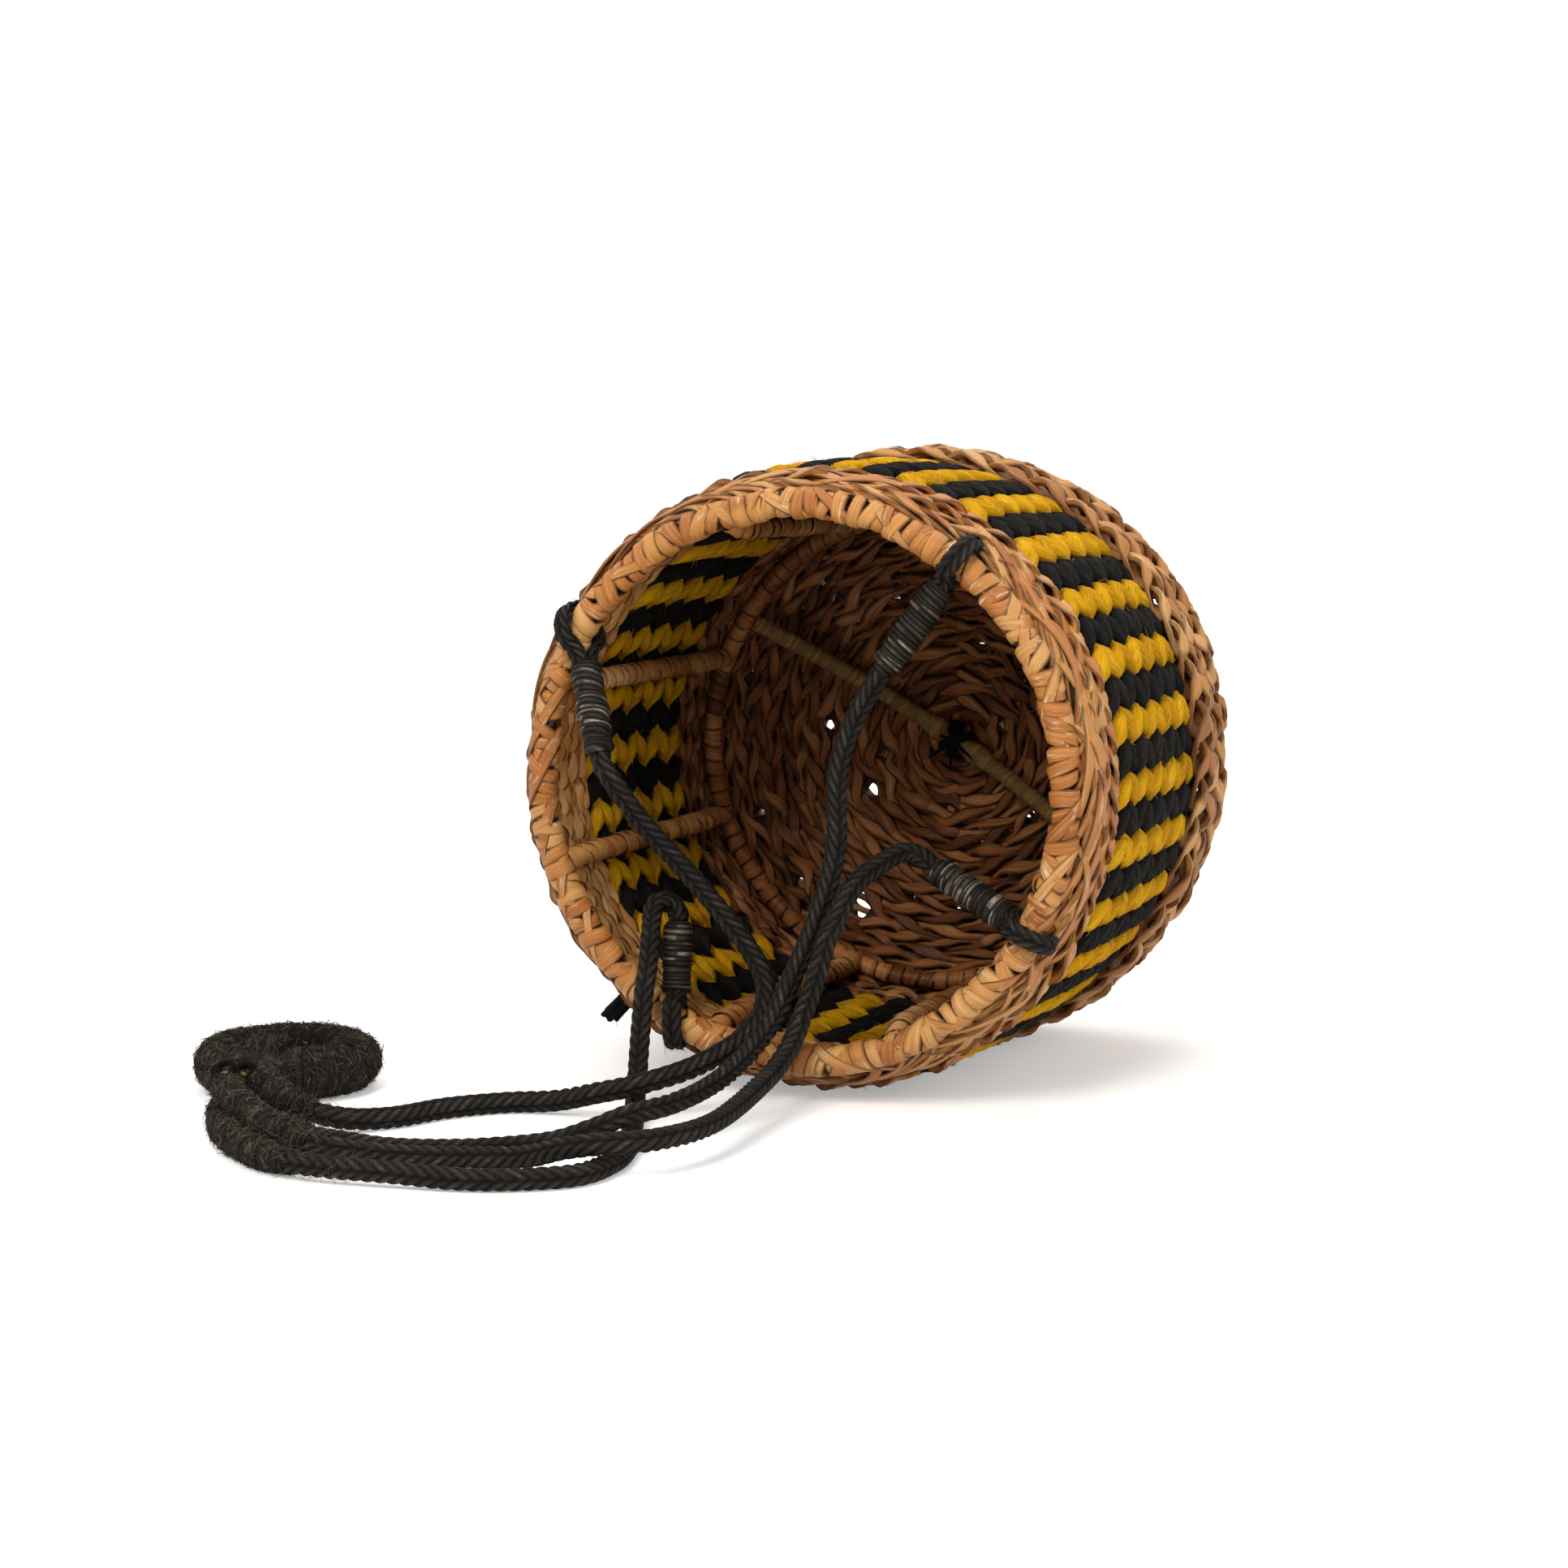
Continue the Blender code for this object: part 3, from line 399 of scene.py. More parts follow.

# %% [markdown]
# Yarn is spun from many fine fibres, so it is matt, with streaks along it: about 0.5 mm wide and
# 6 mm long on the thick jute yarn, 1 to 3 mm long on the cotton plait, the wool and the thread.
# Mustard and black yarn differ in colour only. Where yarn or thread is wound or plaited, the tone of
# each corner says how high it lies: the grooves between two turns are painted dark as shade and the
# crests paler as painted highlight. Loose fibres catch more light than the yarn that they come from,
# so they are painted paler, a painted highlight.

# %% Yarn materials
def yarn_material(name, stops, roughness=0.95, along=140.0, around=7.0, depth=0.0010, weight=0.3):
    """Spun yarn: streaks along or round it, mixed with the tone, and a coarse fibre bump."""
    made, tree, shader = new_material(name, roughness, specular=0.12)
    streak, tone, _ = strand_streaks(tree, along, around, detail=4.0)
    level = mapped(tree, maths(tree, "MULTIPLY_ADD", tone, weight, streak), 0.36, 0.62 + weight)
    dress(tree, shader, ramp(tree, level, stops), streak, 0.9, depth)
    return made


JUTE = dict(along=170.0, around=8.0, depth=0.0016)
MUSTARD = yarn_material("mustard_jute_yarn",
                        {0.0: "8A5C02", 0.4: "CC9004", 0.75: "E6AC0C", 1.0: "F4CA40"}, **JUTE)
MUSTARD_FUZZ = yarn_material("mustard_jute_fibre", {0.0: "B98808", 1.0: "F3D878"})
BLACK = yarn_material("black_jute_yarn",
                      {0.0: "050403", 0.5: "13110E", 0.85: "28241F", 1.0: "3E3831"}, **JUTE)
BLACK_FUZZ = yarn_material("black_jute_fibre", {0.0: "14110E", 0.6: "352E27", 1.0: "6A6053"})
RING_YARN = yarn_material("charcoal_wool_yarn",
                          {0.0: "040403", 0.4: "161411", 0.75: "332F28", 1.0: "5A5347"},
                          along=600.0, around=3.0, depth=0.0006, weight=0.8)
RING_FUZZ = yarn_material("charcoal_wool_fibre", {0.0: "080706", 0.45: "3A352D", 1.0: "B4A58C"})
BRAID = yarn_material("black_braid",
                      {0.0: "020202", 0.45: "100E0C", 0.8: "2A2520", 1.0: "524A41"},
                      roughness=0.7, along=380.0, around=4.0, depth=0.0003, weight=0.9)
THREAD = yarn_material("waxed_whipping_thread",
                       {0.0: "040303", 0.45: "14110E", 0.75: "3A342B", 1.0: "A89C88"},
                       roughness=0.5, along=700.0, around=1.2, depth=0.0003, weight=0.9)
KHAKI = yarn_material("khaki_cotton_thread", {0.0: "4C3519", 0.5: "8A6A3C", 1.0: "B9965E"},
                      roughness=0.75, along=700.0, around=1.0, depth=0.0004, weight=0.7)
print("yarn materials", MUSTARD.name, BLACK.name, RING_YARN.name)

# %% [markdown]
# The four cords come first, because they spread furthest from the basket. Each leaves its thread
# whipping in line with it, falls to the floor and runs to the ring along the points below, which
# are those of the model. The last stretch of each is bound in yarn and ends in the lashing.
# A leg's direction is given as right, up and inward.

# %% Cord facts and routes
RIM_RADIUS = 0.095
RIM_TUBE = 0.00475
SEAM = 0.0003
CORD_RADIUS = 0.0034
END_WRAP_RADIUS = 0.0046
RING_CENTRE = np.array((-0.204, -0.040, 0.0095))
RING_RADIUS = 0.0233
RING_TUBE = 0.0095
LASHING_ANGLE = math.radians(-98.5)
LASHING_GAP = 0.0013
LASHING_LENGTH = 0.0150
LASHING_FACE = RING_TUBE + LASHING_GAP + LASHING_LENGTH + SEAM
LEGS = {
    "upper_left": dict(angle=-58.5, direction=(0.316, -0.889, -0.33), whipping=(0.0130, 0.0455),
                       bound=0.040, seat=(1, 1),
                       bend=((-0.0886, -0.0578, 0.030), (-0.0886, -0.0578, 0.108))),
    "upper_right": dict(angle=37.0, direction=(-0.60, -0.79, 0.10), whipping=(0.0100, 0.0465),
                        bound=0.058, seat=(1, -1),
                        bend=((-0.0070, -0.0660, 0.045), (-0.0070, -0.0660, 0.128))),
    "lower_right": dict(angle=119.5, direction=(-0.83, 0.36, 0.43), whipping=(0.0100, 0.0465),
                        bound=0.085, seat=(-1, 1),
                        bend=((-0.0200, -0.0790, 0.045), (0.0140, -0.0555, 0.0852))),
    "lower_left": dict(angle=-151.5, direction=(-0.12, 0.92, 0.36), whipping=(0.0100, 0.0340),
                       bound=0.100, seat=(-1, -1),
                       bend=((-0.0785, -0.0600, 0.026), (-0.0700, -0.0350, 0.0645))),
}

# %% Points that the cords run through
CORD_ROUTES = {
    "upper_left": (
        (-0.0886, -0.0578, 0.1100), (-0.0836, -0.0560, 0.1026), (-0.0775, -0.0533, 0.0940),
        (-0.0610, -0.0495, 0.0750), (-0.0458, -0.0510, 0.0565), (-0.0375, -0.0550, 0.0435),
        (-0.0365, -0.0605, 0.0340), (-0.0405, -0.0670, 0.0265), (-0.0495, -0.0760, 0.0205),
        (-0.0625, -0.0875, 0.0160), (-0.0790, -0.0945, 0.0122), (-0.0930, -0.0920, 0.0088),
        (-0.1070, -0.0850, 0.0048), (-0.1240, -0.0825, 0.0036), (-0.1431, -0.0915, 0.0036),
        (-0.1592, -0.1065, 0.0037), (-0.1730, -0.1140, 0.0048), (-0.1850, -0.1155, 0.0076),
        (-0.1948, -0.1120, 0.0118), (-0.2022, -0.1035, 0.0141)),
    "upper_right": (
        (-0.0070, -0.0660, 0.1300), (-0.0120, -0.0680, 0.1120), (-0.0125, -0.0690, 0.0880),
        (-0.0190, -0.0695, 0.0640), (-0.0270, -0.0720, 0.0450), (-0.0335, -0.0770, 0.0315),
        (-0.0415, -0.0890, 0.0225), (-0.0520, -0.1100, 0.0165), (-0.0655, -0.1300, 0.0134),
        (-0.0800, -0.1420, 0.0119), (-0.0915, -0.1455, 0.0080), (-0.1045, -0.1475, 0.0044),
        (-0.1240, -0.1530, 0.0036), (-0.1400, -0.1550, 0.0036), (-0.1560, -0.1545, 0.0041),
        (-0.1713, -0.1485, 0.0049), (-0.1860, -0.1375, 0.0049), (-0.1975, -0.1230, 0.0049),
        (-0.2043, -0.1075, 0.0049)),
    "lower_right": (
        (0.0169, -0.0565, 0.0845), (0.0119, -0.0552, 0.0855), (0.0068, -0.0575, 0.0841),
        (0.0017, -0.0615, 0.0815), (-0.0034, -0.0665, 0.0783), (-0.0082, -0.0720, 0.0735),
        (-0.0116, -0.0760, 0.0672), (-0.0152, -0.0785, 0.0595), (-0.0200, -0.0792, 0.0430),
        (-0.0245, -0.0795, 0.0310), (-0.0290, -0.0850, 0.0215), (-0.0370, -0.1050, 0.0150),
        (-0.0520, -0.1530, 0.0120), (-0.0690, -0.1770, 0.0118), (-0.0860, -0.1840, 0.0119),
        (-0.0985, -0.1805, 0.0096), (-0.1105, -0.1730, 0.0054), (-0.1280, -0.1660, 0.0036),
        (-0.1460, -0.1650, 0.0037), (-0.1610, -0.1640, 0.0047), (-0.1775, -0.1600, 0.0062),
        (-0.1905, -0.1520, 0.0090), (-0.2000, -0.1410, 0.0122), (-0.2085, -0.1255, 0.0142),
        (-0.2142, -0.1075, 0.0143)),
    "lower_left": (
        (-0.0692, -0.0343, 0.0645), (-0.0736, -0.0366, 0.0655), (-0.0757, -0.0387, 0.0632),
        (-0.0763, -0.0425, 0.0585), (-0.0765, -0.0485, 0.0535), (-0.0770, -0.0545, 0.0465),
        (-0.0783, -0.0600, 0.0369), (-0.0795, -0.0630, 0.0219), (-0.0802, -0.0665, 0.0110),
        (-0.0805, -0.0760, 0.0050), (-0.0800, -0.0930, 0.0037), (-0.0795, -0.1200, 0.0036),
        (-0.0795, -0.1480, 0.0036), (-0.0830, -0.1710, 0.0036), (-0.0930, -0.1900, 0.0036),
        (-0.1120, -0.1965, 0.0036), (-0.1300, -0.1960, 0.0037), (-0.1493, -0.1915, 0.0046),
        (-0.1706, -0.1850, 0.0049), (-0.1860, -0.1760, 0.0049), (-0.1985, -0.1595, 0.0049),
        (-0.2090, -0.1365, 0.0049), (-0.2155, -0.1105, 0.0049)),
}

# %% [markdown]
# A route is a smooth curve through its points: a Catmull-Rom spline, which passes through each of
# them. It is then walked at even steps, because a braid has the same pitch all the way.

# %% Routes
def smooth_route(points, lead=None, finish=None, steps=16):
    """Catmull-Rom curve through the points, leaving and arriving in the given directions."""
    points = np.asarray(points, float)
    before, after = points[0] * 2 - points[1], points[-1] * 2 - points[-2]
    if lead is not None:
        before = points[1] - lead * (2 * np.linalg.norm(points[1] - points[0]))
        after = points[-2] + finish * (2 * np.linalg.norm(points[-1] - points[-2]))
    ends = np.concatenate([[before], points, [after]])
    p0, p1, p2, p3 = (ends[k:len(ends) - 3 + k, None, :] for k in range(4))
    t = (np.arange(steps) / steps)[None, :, None]
    curve = 0.5 * (2 * p1 + (p2 - p0) * t + (2 * p0 - 5 * p1 + 4 * p2 - p3) * t ** 2
                   + (3 * p1 - p0 - 3 * p2 + p3) * t ** 3)
    return np.concatenate([curve.reshape(-1, 3), points[-1:]])


def travelled(path):
    """Running length of a path at each of its points."""
    return np.concatenate([[0.0], np.cumsum(np.linalg.norm(np.diff(path, axis=0), axis=1))])


def even(path, step, start=0.0, stop=None):
    """The stretch of a path between two running lengths, at even steps."""
    run = travelled(path)
    stop = run[-1] if stop is None else stop
    at = np.linspace(start, stop, max(3, int(round((stop - start) / step)) + 1))
    return np.stack([np.interp(at, run, path[:, k]) for k in range(3)], 1)


def carried_frame(path, reference):
    """Side and normal for each point, which don't twist about the path.

    A frame is taken from a fixed reference direction; its own twist, the sum of the small turns of
    its side about the tangent, is then taken out.
    """
    tangent = headings(path)
    side = unit(np.cross(tangent, reference))
    normal = np.cross(side, tangent)
    turn = (np.diff(side, axis=0) * normal[:-1]).sum(-1)
    angle = -np.concatenate([[0.0], np.cumsum(turn)])[:, None]
    normal = normal * np.cos(angle) - side * np.sin(angle)
    return np.cross(tangent, normal), normal


# %% Where the cords start and end
def leg_frame(leg):
    """Hinge point on the rim, and the leg's own direction, side and rim tangent."""
    angle = math.radians(leg["angle"])
    right, up, inward = leg["direction"]
    along = unit(RIGHT * right + UP * up + INWARD * inward)
    tangent = RIGHT * math.cos(angle) - UP * math.sin(angle)
    return basket_point(RIM_RADIUS, angle, 0.0), along, unit(np.cross(along, tangent)), tangent


def lashing_frame():
    """Centre of the ring's tube where it is held, and the ways out of the lashing and along it."""
    out = np.array((math.cos(LASHING_ANGLE), math.sin(LASHING_ANGLE), 0.0))
    return RING_CENTRE + out * RING_RADIUS, out, np.array((-out[1], out[0], 0.0))


def cord_route(label):
    """The whole line of a cord, from the tip of its whipping to its seat on the lashing."""
    hinge, along, _, _ = leg_frame(LEGS[label])
    held, out, aside = lashing_frame()
    column, row = LEGS[label]["seat"]
    seat = (held + out * LASHING_FACE + aside * ((END_WRAP_RADIUS + SEAM) * column)
            + UP * ((END_WRAP_RADIUS + SEAM / 2) * row))
    tip = hinge + along * (LEGS[label]["whipping"][1] + SEAM)
    points = [tip + along * (CORD_RADIUS / 2), *CORD_ROUTES[label], seat + out * END_WRAP_RADIUS]
    return np.concatenate([[tip], smooth_route(points, along, -out), [seat]])

# %% [markdown]
# The cord is a round plait of black cotton. Four columns of strands run down it, slanting left and
# right in turn, so that from any side they make a row of arrowheads 4.2 mm apart. The strands
# are raised on the tube: radius = core + rise * sqrt(1 - x * x), where x goes from -1 to 1 across
# each strand, and a strand slants across its column while it runs 1.7 pitches along.

# %% Braided cords
BRAID_PITCH = 0.0042
BRAID_SLANT = 1.7
BRAID_RISE = 0.0017


def braided(path, reference, radius, sides=32, spread=1.0, pitch=BRAID_PITCH):
    """A tube along a path with four columns of slanting strands, spread along the reference.

    Also gives each corner's tone: its height, which paints shade into the grooves and highlight on
    the crests, and a little more or less from strand to strand.
    """
    theta = angles(sides)
    column = np.floor(theta / (TAU / 4))
    local = theta / (TAU / 4) - column
    slant = np.where(column % 2 == 0, local, 1.0 - local)
    phase = travelled(path)[:, None] / pitch - BRAID_SLANT * slant + 0.5 * (column % 2)
    across = 2.0 * (phase - np.floor(phase)) - 1.0
    dip = 0.35 + 0.65 * np.sin(np.pi * np.clip(local, 0.0, 1.0)) ** 0.35
    rise = dip * np.sqrt(np.clip(1.0 - across ** 2, 0.0, 1.0))
    shades = RANDOM.uniform(0.0, 1.0, 97)
    # Painted shade in the grooves and painted highlight on the crests: the tone follows the strand's
    # height, with a little random tone for each strand.
    tone = 0.8 * rise + 0.2 * shades[(np.floor(phase) * 5 + column * 31).astype(int) % 97]
    side, normal = carried_frame(path, reference)
    height = radius - BRAID_RISE * (1.0 - rise)
    return path[:, None] + rings(side, normal * spread, theta) * height[..., None], tone


# %% The four cords
CORD_LINES = {}
CORD_REFERENCE = np.array((0.35, 0.2, 0.9))
for label in LEGS:
    line = cord_route(label)
    whole = travelled(line)[-1]
    cord_line = even(line, 0.0006)
    grid, tone = braided(cord_line, CORD_REFERENCE, CORD_RADIUS + 0.0004)
    cord = mesh_piece(f"braided_cord_{label}", grid, BRAID, None, f"cord_{label}", tone=tone)
    CORD_LINES[label] = (cord, cord_line, line, whole)
    print(label, "cord", round(whole * 1000), "mm")

# %% [markdown]
# Near the ring each cord is bound with fuzzy wool yarn, which makes it a thicker, softer lobe that
# thins out where the plait begins. The binding is a wound surface: radius = core + rise * rounded
# wave of (distance / pitch - angle), with each turn a little thicker or thinner than the last.
# Fibres stand off it, and fewer of them reach 22 mm down the plait.

# %% Wound surfaces and loose fibres
def wound(path, reference, radius, pitch, rise, step, sides, uneven=0.3, lump=0.0, skew=0.0):
    """A tube along a path whose skin is thread wound round it, turn beside turn.

    skew tips each turn, by so many pitches to either side.
    """
    line = even(path, step)
    run = travelled(line)
    theta = angles(sides)
    wander, thick, bulk = (drift(len(run), max(3, int(run[-1] / length)), ring=False)
                           for length in (1.5 * pitch, pitch, 0.008))
    turn = (run / pitch + uneven * wander)[:, None] - theta / TAU + skew * np.cos(theta)
    thread = np.abs(np.sin(np.pi * turn)) ** 0.55
    body = (np.broadcast_to(radius, run.shape) + lump * bulk)[:, None]
    height = body - rise * (1.0 - thread * (1.0 + uneven * thick)[:, None])
    shades = RANDOM.uniform(0.0, 1.0, 89) ** 2
    # Painted shade in the grooves between turns and painted highlight on the turns: the tone follows
    # the thread's height, with a random tone for each turn.
    tone = 0.55 * thread + 0.45 * shades[np.floor(turn).astype(int) % 89]
    return line[:, None] + rings(*carried_frame(line, reference), theta) * height[..., None], tone


def fibres(grid, count, length, radius, lift=0.5, grain=0.0, around=False):
    """Loose fibres on a skin: each starts on a face of the grid and curls along and off it.

    grain leans them towards the strand's own direction, or round it.
    """
    skin = grid.reshape(-1, *grid.shape[-3:])
    k, i, j = (RANDOM.integers(0, limit, count)
               for limit in (skin.shape[0], skin.shape[1] - 1, skin.shape[2]))
    root, rise = skin[k, i, j], unit(skin - skin.mean(2, keepdims=True))[k, i, j]
    trend = skin[k, i, (j + 1) % skin.shape[2]] if around else skin[k, i + 1, j]
    trend = unit(trend - root) * RANDOM.choice([-grain, grain], (count, 1))
    way = square_to(rise, unit(RANDOM.normal(size=(count, 3))) + trend)
    bend = unit(RANDOM.normal(size=(count, 3)))
    size = length * RANDOM.uniform(0.35, 1.0, (count, 1, 1))
    t = np.linspace(0.0, 1.0, 4)[:, None]
    arch = lift * RANDOM.uniform(0.1, 1.0, (count, 1, 1)) * np.sin(np.pi * 0.62 * t)
    curve = root[:, None] + size * (way[:, None] * t + rise[:, None] * arch
                                    + 0.35 * bend[:, None] * t ** 2)
    curve[..., 2] = np.maximum(curve[..., 2], radius * 2)
    thick = radius * np.linspace(1.0, 0.3, 4)
    return swept(curve, rise[:, None], thick, thick, 3)


def hair_piece(name, fuzz, paint, body="basket"):
    """One piece of many fibres, each with a tone of its own."""
    return mesh_piece(name, fuzz, paint, body, tone=joined_tone(len(fuzz)))

# %% Yarn bound ends of the cords
BOUND_STEP = 0.00035
FADE_LENGTH = 0.022
for label, (cord, cord_line, line, whole) in CORD_LINES.items():
    bound = LEGS[label]["bound"]
    steps = int(round(bound / BOUND_STEP))
    radius = 0.0037 + 0.0012 * np.clip(np.linspace(0.0, 4.0, steps + 1), 0.0, 1.0) ** 0.7
    grid, tone = wound(even(line, 0.0005, whole - bound, whole), CORD_REFERENCE, radius,
                       pitch=0.0013, rise=0.0004, step=bound / steps, sides=24, uneven=0.9,
                       lump=0.0004, skew=0.8)
    wrap = mesh_piece(f"yarn_bound_end_{label}", grid, RING_YARN, "basket", f"end_wrap_{label}",
                      tone=tone)
    faded = even(line, 0.0005, whole - bound - FADE_LENGTH, whole - 0.004)
    skin = swept(faded, CORD_REFERENCE, CORD_RADIUS + 0.0002, CORD_RADIUS + 0.0002, 16)
    fuzz = np.concatenate([fibres(grid, int(18000 * bound), 0.0038, 0.00018, 0.25, 0.6, True),
                           fibres(skin, int(6000 * bound), 0.0044, 0.00010, 0.4)])
    hairs = hair_piece(f"bound_end_fibres_{label}", fuzz, RING_FUZZ)
    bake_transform(cord)
    even(line, 0.0034).tolist()

# %% [markdown]
# Each cord's end is split in two and passed round the rim as a loop, then bound to itself with a
# whipping of waxed thread. The loop is fluffy where the plait is opened. The whipping is a wound
# surface with thick turns, some of them paler.

# %% Rim loops and whippings
LOOP_STRAND = 0.0023
LOOP_OFFSET = 0.0022
LOOP_GAP = 0.0014
LOOP_SPREAD = 1.7
LOOP_REACH = math.radians(108.0)
for label, leg in LEGS.items():
    hinge, along, side, tangent = leg_frame(leg)
    start, end = leg["whipping"]
    lean = math.sqrt(1.0 - float(along @ tangent) ** 2)
    reach = RIM_TUBE + LOOP_GAP + LOOP_STRAND
    back = RIM_TUBE / lean + LOOP_GAP + LOOP_STRAND
    turn = np.linspace(-LOOP_REACH, LOOP_REACH, 28)[:, None]
    bow = -along * (back * np.cos(turn)) + side * (reach * np.sin(turn))
    ends = np.array([along * (end - 0.002), along * (start - LOOP_GAP)])
    path = np.concatenate([ends - side * LOOP_OFFSET, bow, ends[::-1] + side * LOOP_OFFSET])
    line = even(smooth_route(hinge + path, steps=6), 0.0004)
    grid, tone = braided(line, tangent, LOOP_STRAND, 28, LOOP_SPREAD, 0.0040)
    mesh_piece(f"rim_loop_{label}", grid, BRAID, f"leg_{label}", f"cord_loop_{label}", tone=tone)
    hair_piece(f"rim_loop_fibres_{label}", fibres(grid, 600, 0.0042, 0.00008), BLACK_FUZZ,
               f"leg_{label}")
    start = start - 0.0005
    sleeve = hinge + along * np.linspace(start, end, 60)[:, None]
    steps = int(round((end - start) / 0.00022))
    share = np.linspace(0.0, 1.0, steps + 1)
    radius = 0.0054 - 0.0016 * np.clip((share - 0.93) / 0.07, 0.0, 1.0) ** 1.5
    grid, tone = wound(sleeve, tangent, radius, pitch=0.0018, rise=0.0009,
                       step=(end - start) / steps, sides=30, uneven=0.5, lump=0.0003, skew=0.7)
    mesh_piece(f"thread_whipping_{label}", grid, THREAD, f"leg_{label}", f"whipping_{label}",
               tone=tone)

# %% [markdown]
# Ribbon wound on the wire hoops and stakes: long strips of leaf that go round and round. The
# middle line of a strip is a helix about the wire, and its section is flat and thin. On the rim a
# second, looser strip with a quarter of the turns slants the other way, so that the two cross, and
# short straps cross both. Slow random drifts widen, narrow and tilt the turns, as a weaver's hands
# do.

# %% Wound ribbon
DRIFT_SHARES = (0.9, 1.3, 1.9, 0.7, 2.1)
STRIP = 0.45


def wound_ribbon(centre, outward_way, turns, radius, width, thick, ring, slant=0.0016, wild=0.5,
                 lap=0.10, phase=0.0, loft=0.0002):
    """A ribbon round a path given at every station: centre + radius (cos a out + sin a aside).

    Each turn is shifted along the path by slant * cos a, so that it crosses the front at an
    angle of slant / radius. The drifts have a knot for so many shares of a turn.
    """
    a = np.linspace(0.0, TAU * turns, len(centre), endpoint=not ring) + phase
    tangent = headings(centre, ring)
    out = square_to(tangent, outward_way)
    spoke = out * np.cos(a)[:, None] + np.cross(tangent, out) * np.sin(a)[:, None]
    tilt, swell, lift, sway, roll = (drift(len(centre), int(turns * share), ring=ring)
                                     for share in DRIFT_SHARES)
    shift = slant * (1.0 + wild * 1.6 * tilt) * np.cos(a) + 0.0009 * wild * sway
    middle = centre + spoke * (radius + loft * lift)[:, None] + tangent * shift[:, None]
    lean = unit(spoke + tangent * (lap * (1.0 + roll))[:, None])
    return swept(middle, lean, 0.5 * width * (1.0 + 0.25 * swell), thick * (1.0 + 0.3 * lift), 8,
                 ring, STRIP)


def straps(centre, outward_way, radius, count, width, thick):
    """Short lengths that cross over the winding, tucked in at both ends."""
    i = RANDOM.integers(0, len(centre), count)
    tangent = headings(centre, True)
    out = square_to(tangent, outward_way)
    aside = np.cross(tangent, out)
    t = np.linspace(-1.0, 1.0, 18)[None, :]
    reach = RANDOM.uniform(1.5, 2.6, (count, 1))
    turn = RANDOM.uniform(-1.9, 0.4, (count, 1)) + t * reach
    slope = RANDOM.uniform(0.0026, 0.0062, (count, 1)) * RANDOM.choice([-1.0, 1.0], (count, 1))
    tuck = radius + 0.6 * thick - 0.0014 * np.abs(t) ** 6
    spoke = rings(out[i], aside[i], turn)
    path = centre[i][:, None] + spoke * tuck[..., None]
    path = path + tangent[i][:, None] * (slope * t)[..., None]
    half = 0.5 * width * RANDOM.uniform(0.5, 1.1, (count, 1)) * (1.0 - 0.35 * t ** 4)
    return swept(path, spoke, half, thick, 8, False, STRIP)

# %% Ribbon on the rim
RIM_TURNS = 116
TURN_STATIONS = 16
angle = angles(RIM_TURNS * TURN_STATIONS)
waver = 0.0007 * drift(len(angle), 26)
rim_line = basket_point(RIM_RADIUS + waver, angle, 0.0004 * drift(len(angle), 22))
under = wound_ribbon(rim_line, outward(angle), RIM_TURNS, RIM_TUBE - 0.0006, width=0.0056,
                     thick=0.0010, ring=True, slant=0.0020, wild=0.9, loft=0.0004)
over = wound_ribbon(rim_line, outward(angle), RIM_TURNS // 4, RIM_TUBE - 0.0001, width=0.0040,
                    thick=0.0005, ring=True, slant=-0.0050, wild=1.0, lap=0.16, phase=math.pi,
                    loft=0.0004)
mesh_piece("rim_ribbon", np.stack([under, over]), RIBBON, "basket", "rim_wrap", ring=True,
           tone=patches(len(angle), 61, 2))
grid = straps(rim_line, outward(angle), RIM_TUBE + 0.0001, 70, width=0.0052, thick=0.0004)
mesh_piece("rim_crossing_ribbons", grid, RIBBON, "basket", tone=0.2 + 0.8 * joined_tone(len(grid)))

# %% Ribbon on the lower hoop and the stakes
LOWER_RADIUS = 0.0895
LOWER_DEPTH = 0.141
LOWER_TUBE = 0.0034
LOWER_TURNS = 92
STAKE_TUBE = 0.0036
STAKE_ANGLES = (28.0, 72.0, 110.0, 158.0, 200.0, 251.0, 291.0, 344.0)
STAKE_BEND_SHARES = ((0.0, 0.0), (0.62, 0.042), (0.96, 0.10), (1.0, 0.17), (1.0, 0.5), (1.0, 1.0))

angle = angles(LOWER_TURNS * TURN_STATIONS)
hoop_line = basket_point(LOWER_RADIUS + 0.0004 * drift(len(angle), 20), angle, LOWER_DEPTH)
grid = wound_ribbon(hoop_line, outward(angle), LOWER_TURNS, LOWER_TUBE - 0.0004, width=0.0078,
                    thick=0.0004, ring=True)
mesh_piece("lower_hoop_ribbon", grid, DARK_AND_SHADED_WEFT, "basket", "lower_hoop_wrap", ring=True,
           tone=patches(len(angle), 30))
for i, turn in enumerate(np.radians(STAKE_ANGLES)):
    route = smooth_route([basket_point(RIM_RADIUS + (LOWER_RADIUS - RIM_RADIUS) * lean, turn,
                                       LOWER_DEPTH * share) for lean, share in STAKE_BEND_SHARES])
    run = travelled(route)[-1]
    route = even(route, (run - 0.0085) / 335.0, 0.005, run - 0.0035)
    grid = wound_ribbon(route, outward(turn), 21, STAKE_TUBE - 0.0003, width=0.0086,
                        thick=0.0004, ring=False, slant=0.0014)
    mesh_piece(f"stake_ribbon_{i + 1}", grid, WEFT, "basket", f"stake_wrap_{i + 1}",
               tone=patches(len(route), 7))

# %% [markdown]
# The woven wall is twining: two or three strands per row are twisted about each other as they go
# round, and at each half twist a stake passes between them. A strand is therefore a stretched helix
# about its row: out from the wall by lift * cos(phase), squared up by a power of one or less, and
# along the wall by sway * the zigzag arcsin(0.95 sin(phase)), with phase = twists * angle. Rows that
# twist the other way turn the slanting floats into arrows.

# %% Twined rows
PACKING = math.radians(2.0)
PACKED_AT = math.radians(96.0)


